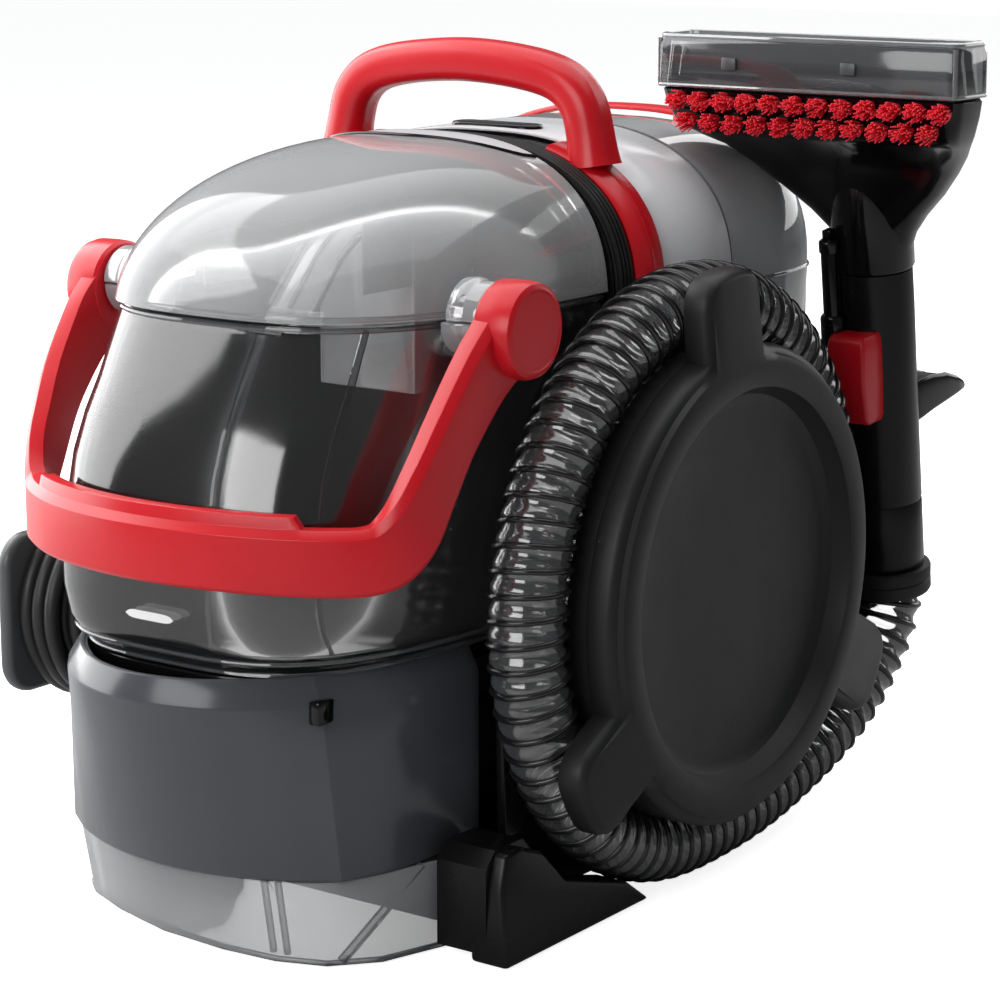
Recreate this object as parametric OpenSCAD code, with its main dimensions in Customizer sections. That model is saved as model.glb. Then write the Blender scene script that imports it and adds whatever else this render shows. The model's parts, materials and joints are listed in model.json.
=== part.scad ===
// Portable carpet spot cleaner.
// +X is the hose side, -Y is the front, +Z is up. The origin is on the floor,
// under the carry handle, at the middle of the base.

/* [Body] */
// Half width of the core housing
core_w = 88; // [87:0.5:88.5]
// Height of the core housing's arch above its spring line
arch_h = 64; // [62:1:65]
// Front face of the core housing
core_front = -28; // [-28:0.5:-27.5]
// Rear face of the core housing
core_rear = 58; // [56:1:58]
// Reach of the fascia band at its top, ahead of the origin
fascia_reach = 223; // [221:1:226]

/* [Tanks] */
// Half width of the dirty-water tank
tank_w = 85.5; // [84:0.5:85.5]
// Height of the joint between dirty-water tank and lid
seam_z = 241; // [240.5:0.5:241.5]
// Wall thickness of the clear tanks
tank_wall = 2.5; // [2:0.25:3]
// Rear face of the clean-water tank
clean_rear = 160; // [156:1:162]

/* [Bail] */
// Height of the bail's pivot
bail_z = 238; // [237.5:0.5:238]
// Distance of the bail's pivot ahead of the origin
bail_y = 113; // [112:0.5:114]
// Radius of the bail's pivot pins
pin_r = 5; // [4:0.5:5.5]

/* [Hose wrap] */
// Height of the hose hub's centre
hub_z = 125; // [125:0.5:126]
// Radius of the flange that keeps the hose on the hub
flange_r = 97; // [94:1:98]
// Radius of the flange's hooked lobes
lobe_r = 128; // [126:1:130]
// Outer diameter of the suction hose
hose_d = 32; // [30:0.5:32]

/* [Tool] */
// Width of the tool head
head_w = 141; // [139:1:143]
// Radius of the wand's grip
wand_r = 16.5; // [15.5:0.5:16.5]

/* [Hidden] */

$fn = 48;
EPS = 0.01;
RED = "#d3202b";
BLACK = "#1b1b1d";
GREY = "#474a50";
CLEAR = [0.85, 0.88, 0.9, 0.35];

base_top = 34;            // top of the base pan's walls
deck_z = 112.5;           // face that both tanks stand on
spring_z = 232;           // height at which the arch starts
tank_y = -38;             // rear end of the dirty tank's rounded outline
tank_back = -30.5;        // flat back of the dirty tank
clean_front = 61;         // flat front of the clean tank
cap_z = 98;               // underside of the clean tank's cap
panel_in = 87;            // inner face of the side panels
panel_out = 91;           // outer face of the side panels
strip_gap = 0.3;          // clearance between the arch and what lies on it
hub_y = -8;               // centre of the hose hub
hub_r = 60;
hose_x = 110;             // plane in which the hose is wound
flange_back = 127;
flange_front = 142;
recess_r = 79;            // radius of the flange's dished middle
turn_out = 108.5;         // radius of the outer turn at the floor
turn_in = 76.5;           // radius of the inner turn
hose_end = -660;          // angle at which the hose meets its port
port_at = [42.9, 185.4];  // port's centre on the side panel
port_r = 12;
boss_r = 14;              // pivot boss, shared by tank and lid
boss_core_r = 11;         // the part of it that is all tank
boss_root = 76;
boss_face = 92;
pin_root = 78;
arm_in = 94;
arm_out = 104;
wand_x = 116;
wand_foot = [wand_x, 150, 101];
wand_lean = 8;            // degrees that the wand leans forward
head_y = 80;
cord_d = 7;
wind_x = [-140.5, -112.5];
wind_z = 97;
wind_y = [-98, 104];
wind_r = [28, 42];

// ---- helpers ----------------------------------------------------------

function unit(v) = v / norm(v);
function power(v, e) = sign(v) * pow(abs(v), e);

// Solid through a stack of rings, each clockwise when seen from the stack's end
module loft(rings) {
    n = len(rings[0]);
    m = len(rings);
    sides = [for (j = [0:m - 2]) for (i = [0:n - 1])
        let (a = j * n + i, b = j * n + (i + 1) % n) each [[a, b, b + n], [a, b + n, a + n]]];
    ends = [[for (i = [n - 1:-1:0]) i], [for (i = [0:n - 1]) (m - 1) * n + i]];
    polyhedron([for (r = rings) each r], concat(sides, ends), convexity = 8);
}

// Round bar of radius r along a path, with its section's first axis near side
module bar(path, r, sides = 10, side = [1, 0, 0], squash = 1) {
    m = len(path);
    loft([for (i = [0:m - 1])
        let (t = unit(path[min(i + 1, m - 1)] - path[max(i - 1, 0)]),
             b = unit(cross(t, side)), s = cross(b, t))
        [for (k = [0:sides - 1])
            path[i] + r * (squash * cos(360 * k / sides) * s - sin(360 * k / sides) * b)]]);
}

// Plan outline that is a superellipse ahead of tank_y, reaching l ahead of it, with a flat back
function tank_ring(w, l, back, z, m = 3, n = 22) = concat(
    [for (i = [0:n]) let (t = 180 * i / n)
        [w * power(cos(t), 2 / m), tank_y - l * power(sin(t), 2 / m), z]],
    [[-w, back, z], [w, back, z]]);

// The same for the clean tank, rounded at the rear and flat at the front
function clean_ring(w, l, front, z, m = 4, n = 20) = concat(
    [for (i = [0:n]) let (t = 180 - 180 * i / n)
        [w * power(cos(t), 2 / m), clean_front + 5 + l * power(sin(t), 2 / m), z]],
    [[w, front, z], [-w, front, z]]);

// Half width of the housing's arch at height z
function arch_x(w, h, z) = w * pow(1 - pow(max(0, z - spring_z) / h, 2.6), 1 / 2.6);

// Front view of the housing's arch, down to height low
module arch_face(w, h, low, n = 28) {
    polygon(concat([for (i = [0:n]) let (t = 180 * i / n)
        [w * power(cos(t), 2 / 2.6), spring_z + h * power(sin(t), 2 / 2.6)]],
        [[-w, low], [w, low]]));
}

// Slice of the arch from y0 to y1
module arch_slab(w, h, low, y0, y1) {
    translate([0, y1, 0]) rotate([90, 0, 0]) linear_extrude(y1 - y0) arch_face(w, h, low);
}

// Band over the arch, thick mm thick, lifted off it by gap
module arch_band(thick, y0, y1, gap = strip_gap) {
    low = spring_z - 20;
    difference() {
        arch_slab(core_w + gap + thick, arch_h + gap + thick, low, y0, y1);
        arch_slab(core_w + gap, arch_h + gap, low - 1, y0 - 1, y1 + 1);
    }
}

module box(lo, hi) {
    translate(lo) cube(hi - lo);
}

// Rounded rectangle in plan, as a union of true circles and squares
module round_rect(lo, hi, r) {
    translate([lo[0] + r, lo[1]]) square([hi[0] - lo[0] - 2 * r, hi[1] - lo[1]]);
    translate([lo[0], lo[1] + r]) square([hi[0] - lo[0], hi[1] - lo[1] - 2 * r]);
    for (x = [lo[0] + r, hi[0] - r], y = [lo[1] + r, hi[1] - r]) translate([x, y]) circle(r);
}

module cyl_x(r, x0, x1, y = 0, z = 0) {
    translate([x0, y, z]) rotate([0, 90, 0]) cylinder(r = r, h = x1 - x0);
}

module cyl_y(r, y0, y1, x = 0, z = 0) {
    translate([x, y1, z]) rotate([90, 0, 0]) cylinder(r = r, h = y1 - y0);
}

// Side view drawn in Y and Z, thick from x0 to x1
module side_slab(x0, x1) {
    translate([x0, 0, 0]) rotate([90, 0, 90]) linear_extrude(x1 - x0) children();
}

// Children on both sides of the middle plane
module both_sides() {
    children();
    mirror([1, 0, 0]) children();
}

// Open plan outline round the front: corner, side points and bowed front
function front_path(corner, bow, sides, n = 8) = concat(sides,
    [for (i = [0:n]) let (s = 1 - 2 * i / n)
        [corner[0] * s, corner[1] - bow * (1 - s * s)]],
    [for (i = [len(sides) - 1:-1:0]) [-sides[i][0], sides[i][1]]]);

// Closed ring of that outline at height z, grown by t
function front_ring(path, t, z) = concat(
    [for (p = path) [p[0] * (1 + t / 80), p[1] - t, z]],
    [[-path[0][0] * (1 + t / 80), path[0][1] + 20 - t, z],
        [path[0][0] * (1 + t / 80), path[0][1] + 20 - t, z]]);

// Open wall t thick through a stack of such outlines, each [height, path]
module front_wall(stack, t) {
    last = len(stack) - 1;
    difference() {
        loft([for (s = stack) front_ring(s[1], 0, s[0])]);
        loft([for (k = [0:last]) front_ring(stack[k][1], -t,
            stack[k][0] + (k == 0 ? -1 : k == last ? 1 : 0))]);
        translate([-100, stack[0][1][0][1], stack[0][0] - 2])
            cube([200, 60, stack[last][0] - stack[0][0] + 4]);
    }
}

// ---- base -------------------------------------------------------------

module base_pan() color(BLACK) {
    difference() {
        translate([0, 0, 4]) linear_extrude(base_top - 4) round_rect([-86, -122], [86, 158], 18);
        translate([0, 0, 7.5]) linear_extrude(40) round_rect([-82.5, -118.5], [82.5, 154.5], 15);
    }
    cylinder(r = 22, h = 8);
    side_slab(85, 108) polygon([[-142, 4], [-74, 4], [-76, 12], [-100, 24], [-118, 44],
        [-136, 44], [-142, 38]]);
}

module rubber_feet() color("#101010") {
    for (x = [-66, 66], y = [-96, 134]) translate([x, y, 0]) cylinder(r = 9, h = 3.9);
}

module front_skirt() color(CLEAR) {
    front_wall([for (s = [[1, 0], [34.6, 2]]) [s[0], front_path([63 + s[1], -175 - s[1]], 12,
        [[85, -126], [84, -140], [75 + s[1] / 2, -161]])]], 2.6);
}

module front_fascia() color(GREY) {
    front_wall([for (s = [[35, 69, 179, 203], [114, 64.5, 187, fascia_reach]])
        [s[0], front_path([s[1], -s[2]], s[3] - s[2], [[80, -108], [74, -153]])]], 3.5);
}

module tank_deck() color(BLACK) {
    translate([0, 0, deck_z - 5]) linear_extrude(5) difference() {
        polygon([for (p = tank_ring(76, 150, -29, 0)) [p[0], p[1]]]);
        translate([0, -95]) circle(8);
    }
}

// One half of the arched housing round the motor
module housing_half() color(BLACK) {
    intersection() {
        union() {
            difference() {
                arch_slab(core_w, arch_h, base_top + 0.2, core_front, core_rear);
                arch_slab(core_w - 3, arch_h - 3, base_top - 1, core_front + 3, core_rear - 3);
                cyl_y(13, core_front - 1, core_front + 5, 0, 262);
                box([-23.5, 7, 289], [23.5, 23, 310]);
                box([-panel_in - 9, core_front - 1, 0], [-panel_in + 0.3, core_rear + 1, 234]);
            }
            box([-panel_in + 0.3, core_front, base_top + 0.2],
                [-panel_in + 3.3, core_rear, 234]);
        }
        box([-100, -60, 0], [-0.1, 80, 310]);
    }
}

module housing_left() housing_half();

module housing_right() difference() {
    mirror([1, 0, 0]) housing_half();
    port_hole();
}

module rear_housing() color(BLACK) {
    difference() {
        translate([0, 0, base_top + 0.2]) linear_extrude(deck_z - base_top - 0.2)
            round_rect([-85, 59], [85, 156], 16);
        translate([0, 0, base_top - 1]) linear_extrude(deck_z - base_top - 2)
            round_rect([-82, 62], [82, 153], 13);
        translate([0, 108, cap_z - 2]) cylinder(r = 22, h = 40);
        box([-22, 108, cap_z - 2], [22, 160, cap_z + 30]);
        box([-46, 150, 50], [46, 160, 90]);
    }
}

module exhaust_grille() color("#26272a") {
    difference() {
        box([-45.8, 153.5, 50.2], [45.8, 156.5, 89.8]);
        for (k = [0:5]) box([-40, 150, 54 + 6 * k], [40, 160, 57 + 6 * k]);
    }
}

// Way through the housing and its panel for the hose port
module port_hole() {
    cyl_x(port_r + 0.3, panel_in - 9, panel_out + 1, port_at[0], port_at[1]);
}

module side_panel() {
    side_slab(panel_in, panel_out)
        polygon([[-106, 36], [57, 36], [57, 228], [-30, 228], [-66, 214], [-92, 188],
            [-104, 150], [-108, 110]]);
}

module side_panel_left() color(BLACK) mirror([1, 0, 0]) side_panel();

module side_panel_right() color(BLACK) difference() {
    side_panel();
    port_hole();
}

module ribbed_strip() color("#141415") {
    intersection() {
        union() {
            arch_band(1.6, -27.4, -17);
            for (k = [0:2]) arch_band(2.6, -26.6 + 3.3 * k, -25 + 3.3 * k);
        }
        box([-120, -60, 246], [120, 60, 320]);
    }
}

module top_cover() color("#c9ccd0") {
    difference() {
        intersection() {
            arch_band(2.4, 5, 57);
            box([-66, 0, 262], [66, 70, 320]);
        }
        translate([0, 15, 250]) linear_extrude(80) round_rect([-23.2, -7.6], [23.2, 7.6], 7.4);
    }
}

module power_switch() color("#0d0d0e") {
    difference() {
        union() {
            translate([0, 15, 296.6]) linear_extrude(2.6) round_rect([-22, -7], [22, 7], 6.8);
            translate([-2, 9, 294]) cube([4, 12, 3]);
            cyl_y(3, 9, 21, 0, 293.6);
        }
        translate([0, 15, 318]) rotate([90, 0, 0]) cylinder(r = 19.4, h = 40, center = true);
    }
}

module carry_handle() color(RED) {
    intersection() {
        arch_band(4.4, -16, 4);
        both_sides() box([43, -30, 270], [69, 20, 320]);
    }
    bar([[-58, -6, 290], [-58, -6, 302], [-55, -6, 314], [-46, -6, 321], [-28, -6, 325],
        [0, -6, 327], [28, -6, 325], [46, -6, 321], [55, -6, 314], [58, -6, 302],
        [58, -6, 290]], 9, 14, [0, 1, 0], 1.05);
}

module side_trims() color(RED) {
    intersection() {
        arch_band(4.4, -16, 4);
        both_sides() box([69.2, -30, 246], [110, 20, 320]);
    }
}

module case_screws() color("#8d9096") {
    for (x = [-60, 60], y = [-70, 100]) translate([x, y, 7.6]) {
        cylinder(r = 4, h = 3);
        cylinder(r = 2, h = 12);
    }
}

// ---- works inside the housing -------------------------------------------

module vacuum_motor() color("#6c7076") {
    translate([0, 15, 62]) cylinder(r = 36, h = 58);
    translate([0, 15, 120]) cylinder(r = 14, h = 6);
}

module motor_mount() color("#101010") {
    translate([0, 15, 35]) difference() {
        cylinder(r = 30, h = 26.8);
        translate([0, 0, -1]) cylinder(r = 22, h = 40);
    }
}

module impeller() color("#2a2c30") {
    translate([0, 15, 132]) difference() {
        union() {
            cylinder(r = 33, h = 2);
            cylinder(r = 9, h = 12);
            for (k = [0:8]) rotate([0, 0, 40 * k]) box([7, -1, 1], [31.5, 1, 11]);
        }
        translate([0, 0, -1]) cylinder(r = 3.05, h = 20);
    }
}

module fan_housing() color("#33353a") {
    translate([0, 15, 127.5]) {
        difference() {
            cylinder(r = 39, h = 22);
            translate([0, 0, 2]) cylinder(r = 36, h = 17);
            translate([0, 0, -1]) cylinder(r = 7, h = 5);
            translate([0, 0, 10]) cylinder(r = 12, h = 20);
        }
    }
    translate([0, 15, 126.2]) cylinder(r = 3, h = 17);
}

module suction_duct() color("#33353a") {
    difference() {
        union() {
            translate([0, 15, 149.8]) cylinder(r = 15, h = 125);
            cyl_y(12.5, core_front + 0.2, 15, 0, 262);
        }
        translate([0, 15, 148]) cylinder(r = 12, h = 124);
        cyl_y(10, core_front - 1, 15, 0, 262);
    }
}

module circuit_board() color("#1f5a35") {
    box([-66, 22, 170], [-26, 24, 240]);
    for (k = [0:3]) box([-60, 15, 178 + 15 * k], [-48, 21.9, 188 + 15 * k]);
}

module pump() color("#5b5f66") {
    box([30, 84, 42], [66, 124, 78]);
    translate([48, 104, 78]) cylinder(r = 13, h = 18);
}

module heater() color("#b9bcc2") {
    cyl_y(15, 76, 134, -48, 62);
    for (y = [84, 126]) cyl_y(18, y - 2, y + 2, -48, 62);
}

module water_line() color("#d8dadd") {
    bar([[29.8, 104, 60], [14, 104, 60], [0, 104, 58], [-14, 104, 58], [-32.8, 104, 60]], 3, 8,
        [0, 0, 1]);
}

// ---- hose wrap ----------------------------------------------------------

module hose_hub() color(BLACK) {
    difference() {
        cyl_x(hub_r, panel_out + 0.05, flange_back - 0.05, hub_y, hub_z);
        cyl_x(hub_r - 3, panel_out - 1, flange_back - 3, hub_y, hub_z);
    }
}

// One hooked lobe, centred on the angle and spanning width degrees at its root
module lobe(angle, width) {
    rim = flange_r - 6;
    polygon([for (p = [[rim, -width / 2], [lobe_r - 7, -width / 2.4], [lobe_r, -width / 4],
            [lobe_r + 1, 0], [lobe_r, width / 4], [lobe_r - 7, width / 2.4], [rim, width / 2]])
        p[0] * [cos(angle + p[1]), sin(angle + p[1])]]);
}

module wrap_flange() color("#19191b") {
    translate([flange_back, hub_y, hub_z]) rotate([90, 0, 90]) {
        difference() {
            union() {
                cylinder(r = flange_r, h = flange_front - flange_back, $fn = 96);
                linear_extrude(13) for (angle = [96, 211, 331]) lobe(angle, 22);
                // skirt behind the rim, on the front side only
                translate([0, 0, -9]) intersection() {
                    difference() {
                        cylinder(r = flange_r - 1.6, h = 10, $fn = 96);
                        translate([0, 0, -1]) cylinder(r = flange_r - 4.4, h = 12, $fn = 96);
                    }
                    translate([-110, -110, 0]) cube([110, 220, 10]);
                }
            }
            translate([0, 0, 4]) cylinder(r1 = recess_r - 5, r2 = recess_r,
                h = flange_front - flange_back - 4 + EPS, $fn = 96);
            for (k = [0:2]) rotate([0, 0, 30 + 120 * k]) translate([40, 0, -1])
                cylinder(r = 2.1, h = 8);
        }
    }
}

module flange_screws() color("#8d9096") {
    for (k = [0:2])
        translate([0, hub_y + 40 * cos(30 + 120 * k), hub_z + 40 * sin(30 + 120 * k)]) {
            cyl_x(4, flange_back + 4.05, flange_back + 6);
            cyl_x(2, flange_back + 0.05, flange_back + 4.05);
        }
}

// Radius of the hose's turn after it has run back through the angle a
function turn_r(a) = let (s = min(1, max(0, (-a - 350) / 90)), k = s * s * (3 - 2 * s))
    turn_out + 1.5 * (1 + sin(a)) * (1 - k) - (turn_out - turn_in) * k;

// The hose from inside the grip, down to the floor, then twice round the hub
hose_path = concat(
    [[116, 150.1, 100.4], [116, 151.6, 88.6], [115.8, 147, 75], [115, 136, 61],
        [114, 120, 47], [112.5, 98, 35], [111, 68, 25], [110.3, 40, 19], [110, 14, 16.8]],
    [for (a = [-90:-10:hose_end]) [hose_x, hub_y + turn_r(a) * cos(a), hub_z + turn_r(a) * sin(a)]]);

module suction_hose() color([0.3, 0.3, 0.32]) {
    bar(hose_path, hose_d / 2, 10);
}

module hose_port() color(BLACK) {
    last = hose_path[len(hose_path) - 1];
    along = unit(last - hose_path[len(hose_path) - 2]);
    bar([last + 0.1 * along, last + 14 * along], 14, 20);
    translate(last + 14 * along) sphere(14);
    cyl_x(port_r, panel_in - 5, hose_x, port_at[0], port_at[1]);
}

// ---- tool holder and cord wrap --------------------------------------------

// Frame of the wand: origin at its foot, +Z along it, -Y its front
module on_wand() {
    translate(wand_foot) rotate([wand_lean, 0, 0]) children();
}

module tool_holder() color(GREY) {
    difference() {
        union() {
            side_slab(89.5, 96) polygon([[118, 40], [150, 40], [160, 110], [158, 170],
                [138, 196], [118, 196], [122, 110]]);
            box([85.02, 120, 44], [92, 148, 100]);
            on_wand() for (z = [30, 86]) translate([0, 0, z]) difference() {
                translate([-25, -11, 0]) cube([22, 22, 9]);
                translate([0, 0, -1]) cylinder(r = wand_r + 0.4, h = 12);
            }
        }
        on_wand() cylinder(r = wand_r + 0.4, h = 120);
    }
}

// Flat end of a cord hook, from y0 to y1 and reach above and below the winding's middle
module hook_paddle(y0, y1, reach) {
    translate([wind_x[0] - 8, 0, 0]) rotate([90, 0, 90]) linear_extrude(7)
        round_rect([y0, wind_z - reach], [y1, wind_z + reach], 14);
}

module cord_hook_front() color(GREY) {
    cyl_x(wind_r[0] - 0.5, -141.5, -panel_out - 0.05, wind_y[0], wind_z);
    cyl_x(38, wind_x[1] + 0.3, -panel_out - 8, wind_y[0], wind_z);
    hook_paddle(wind_y[0] - 30, wind_y[0] + 33, 33);
}

module cord_hook_rear() color(GREY) {
    cyl_x(wind_r[0] - 0.5, -141.5, -panel_out - 9, wind_y[1], wind_z);
    cyl_x(7, -panel_out - 9, -85.3, wind_y[1], wind_z);
    hook_paddle(wind_y[1] - 15, wind_y[1] + 48, 27);
}

module strain_relief() color("#101010") {
    intersection() {
        translate([-84.9, 3.2, 57]) rotate([-90, 0, 0]) rotate([0, -38, 0])
            cylinder(r1 = 8, r2 = 4.5, h = 36);
        box([-120, 5, 40], [-panel_out - 0.02, 62, 70]);
    }
}

module cord_lead() color("#0c0c0d") {
    bar([[-108.4, 33.3, 57], [-109.8, 39, 58.7], [-111, 46, 61.3]], cord_d / 2, 8, [0, 0, 1]);
}

module stadium(r) {
    translate([wind_y[0], wind_z - r]) square([wind_y[1] - wind_y[0], 2 * r]);
    for (y = wind_y) translate([y, wind_z]) circle(r, $fn = 64);
}

module cord_winding() color("#0c0c0d") {
    side_slab(wind_x[0], wind_x[1]) difference() {
        stadium(wind_r[1]);
        stadium(wind_r[0]);
    }
}

module mains_plug() color("#0c0c0d") {
    translate([0, 0, wind_z + wind_r[1]]) {
        box([-139, 20, 0.1], [-115, 60, 22]);
        for (x = [-133, -121]) box([x - 2, 3, 9], [x + 2, 20.2, 12]);
    }
}

// ---- dirty-water tank -------------------------------------------------------

// Height, half width and depth of the tank's outline
tank_rings = [[deck_z + 0.2, 76, 157], [115, 76, 157], [119, 84, 165], [150, tank_w, 165], [185, tank_w, 160],
    [210, 84.5, 150], [230, 83.5, 138], [seam_z - 0.3, 83, 132]];

module boss_pair(r) {
    both_sides() cyl_x(r, boss_root, boss_face, -bail_y, bail_z);
}

module dirty_tank() color(CLEAR) {
    difference() {
        union() {
            loft(concat(
                [for (s = tank_rings) tank_ring(s[1], s[2], tank_back, s[0])],
                [for (i = [len(tank_rings) - 1:-1:0]) let (s = tank_rings[i])
                    tank_ring(s[1] - tank_wall, s[2] - tank_wall, tank_back - tank_wall,
                        i == 0 ? s[0] + 3 : s[0])]));
            boss_pair(boss_core_r);
            intersection() {
                boss_pair(boss_r);
                box([-99, -200, 200], [99, 0, seam_z - 0.3]);
            }
        }
        both_sides() cyl_x(pin_r + 0.05, pin_root - 1, boss_face + 1, -bail_y, bail_z);
    }
}

// Lid's outline at height z
function lid_ring(z, t) = let (h = arch_h + 2 - t, u = max(0, z - spring_z) / h)
    tank_ring(arch_x(core_w - 1.5 - t, h, z), (136 - t) * sqrt(max(0.02, 1 - u * u)),
        tank_back - t, z);

module tank_lid() color(CLEAR) {
    levels = [seam_z, 247, 256, 265, 274, 282, 288, 293, 296];
    inner = [seam_z, 247, 256, 265, 274, 282, 288, 291, 293];
    difference() {
        union() {
            loft(concat([for (i = [len(inner) - 1:-1:0]) lid_ring(inner[i], tank_wall)],
                [for (z = levels) lid_ring(z, 0)]));
            intersection() {
                both_sides() cyl_x(boss_r, boss_root + 2.5, boss_face, -bail_y, bail_z);
                box([-99, -200, seam_z], [99, 0, 260]);
            }
        }
        both_sides() cyl_x(boss_core_r + 0.4, 60, 100, -bail_y, bail_z);
        cyl_y(14, tank_back - 6, tank_back + 2, 0, 262);
    }
}

module lid_gasket() color("#3a3c40") {
    translate([0, 0, seam_z - 4]) linear_extrude(3.6) difference() {
        polygon([for (p = tank_ring(78.8, 126.8, tank_back - 3.6, 0)) [p[0], p[1]]]);
        polygon([for (p = tank_ring(76.3, 124.3, tank_back - 6, 0)) [p[0], p[1]]]);
    }
}

module separator() color(CLEAR) {
    difference() {
        box([-24, -74, 196], [24, -38.5, 283]);
        box([-21.5, -71.5, 190], [21.5, -41, 280.5]);
        cyl_y(14, -42, -30, 0, 262);
        box([-12, -80, 250], [12, -70, 275]);
    }
    for (x = [-50, -36]) box([x, -72, 243], [x + 2, -38.5, 268]);
}

module float_ball() color("#d8dadd") {
    translate([0, -56, 199]) {
        cylinder(r = 14, h = 20);
        translate([0, 0, 20]) cylinder(r = 5, h = 18);
    }
}

// ---- bail ----------------------------------------------------------------------

module bail() color(RED) {
    // arms
    both_sides() difference() {
        union() {
            cyl_x(17, arm_in, arm_out, -bail_y, bail_z);
            side_slab(arm_in, arm_out) polygon([[-119, 254], [-137, 234], [-156, 218],
                [-173, 193], [-182, 173], [-182, 149], [-166, 149], [-163, 170], [-152, 190],
                [-129, 216], [-104, 224]]);
        }
        cyl_x(pin_r + 0.02, arm_in - 1, arm_out + 1, -bail_y, bail_z);
    }
    // bar across the front
    intersection() {
        difference() {
            loft([for (z = [148, 173]) tank_ring(112, 178, -30, z, 3.2, 32)]);
            loft([for (z = [140, 180]) tank_ring(104, 170, -20, z, 3.2, 32)]);
        }
        box([-120, -240, 140], [120, -158, 180]);
    }
    // raised tab on the bar
    intersection() {
        difference() {
            loft([for (z = [172, 179]) tank_ring(111, 177, -30, z, 3.2, 32)]);
            loft([for (z = [170, 181]) tank_ring(106, 172, -20, z, 3.2, 32)]);
        }
        box([-60, -240, 172], [60, -180, 179]);
    }
}

module bail_pins() color("#2a2c30") {
    both_sides() cyl_x(pin_r, pin_root, arm_out + 0.6, -bail_y, bail_z);
}

module bail_knobs() color(RED) {
    both_sides() {
        cyl_x(17.5, arm_out + 0.8, arm_out + 5, -bail_y, bail_z);
        cyl_x(14, arm_out + 5, arm_out + 6.5, -bail_y, bail_z);
    }
}

// ---- clean-water tank -----------------------------------------------------------

// Clean tank's outline at height z, t inside its outer face
function clean_outline(z, t) = let (h = arch_h + 2 - t, u = max(0, z - spring_z) / h,
        draft = 4 * max(0, (spring_z - z) / 120))
    clean_ring(arch_x(core_w - t, h, z) - draft,
        (clean_rear - clean_front - 5 - t) * pow(max(0.03, 1 - pow(u, 3)), 0.34) - draft,
        clean_front + t, z);

module clean_tank() color(CLEAR) {
    levels = [deck_z + 0.2, 150, 200, 232, 248, 262, 275, 285, 292, 296];
    inner = [deck_z - 2, 150, 200, 232, 248, 262, 275, 285, 290, 293];
    difference() {
        union() {
            loft(concat([for (i = [len(inner) - 1:-1:1]) clean_outline(inner[i], tank_wall)],
                [clean_outline(levels[0], tank_wall)],
                [for (z = levels) clean_outline(z, 0)]));
            translate([0, 0, levels[0]]) linear_extrude(3)
                polygon([for (p = clean_outline(levels[0], 1.2)) [p[0], p[1]]]);
        }
        translate([0, 108, 100]) cylinder(r = 18, h = 30);
    }
}

module clean_tank_strap() color(RED) {
    intersection() {
        arch_band(3, 106, 120, 2.6);
        box([-66, 100, 277], [50, 126, 320]);
    }
}

module fill_cap() color("#202225") {
    translate([0, 108, 0]) difference() {
        union() {
            translate([0, 0, cap_z]) cylinder(r = 20, h = deck_z - cap_z);
            translate([0, 0, deck_z]) cylinder(r = 17.8, h = 9);
        }
        translate([0, 0, 90]) cylinder(r = 5.1, h = 40);
    }
}

module tank_valve() color("#d8dadd") {
    translate([0, 108, cap_z - 1]) {
        cylinder(r = 5, h = 27);
        translate([0, 0, 25.5]) cylinder(r = 9, h = 3);
    }
}

// ---- wand and tool head ------------------------------------------------------------

module wand_grip() color(BLACK) {
    on_wand() {
        difference() {
            union() {
                cylinder(r = wand_r, h = 108);
                translate([0, 0, 108]) cylinder(r1 = wand_r, r2 = 14, h = 28);
            }
            translate([0, 0, -1]) cylinder(r = 12.5, h = 150);
            translate([-7, -30, 60]) cube([14, 24, 48]);
            translate([-6, 12, 72]) cube([12, 12, 32]);
        }
    }
}

module hose_collar() color("#232427") {
    on_wand() translate([0, 0, -12]) difference() {
        cylinder(r = 19.5, h = 11.9);
        translate([0, 0, -1]) cylinder(r = hose_d / 2 + 0.4, h = 14);
    }
}

module spray_trigger() color(RED) {
    on_wand() difference() {
        union() {
            translate([-6, -27, 64]) cube([12, 12, 42]);
            translate([-6, -16, 96]) cube([12, 5, 10]);
        }
        translate([0, -14, 101]) rotate([0, 90, 0]) cylinder(r = 2.05, h = 30, center = true);
    }
}

module trigger_pin() color("#8d9096") {
    on_wand() translate([0, -14, 101]) rotate([0, 90, 0]) cylinder(r = 2, h = 15, center = true);
}

module wand_latch() color(BLACK) {
    on_wand() translate([0, 19.5, 76]) {
        rotate([0, 90, 0]) cylinder(r = 3.2, h = 11, center = true);
        side_slab(-8, 8) polygon([[-1.9, -16.9], [19.6, -13.9], [45.9, -13], [45.5, -8.9],
            [25.7, 1.4], [11.7, 1.9], [0.3, 1.5]]);
    }
}

module spray_tube() color("#1d1e20") {
    on_wand() translate([0, 0, 110]) {
        translate([-11, -18, 0]) cylinder(r = 3, h = 50);
        translate([-11, -18, 6]) cylinder(r = 4.2, h = 5);
    }
}

// Head's own frame: middle of the nozzle
module on_head() {
    translate([116.3, head_y, 300]) children();
}

// Height, half width, half depth and rearward shift of the head's outline
head_rings = [[-53, 17, 10, 54], [-40, 28, 9, 50], [-30, 33, 9, 46], [-18, 44, 9, 38],
    [-10, 54, 11, 26], [-3, 65.5, 13, 6], [13.6, 70, 13, 1], [13.8, 67.2, 11.2, -0.5],
    [24, 67.2, 11.2, -0.5]];

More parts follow.
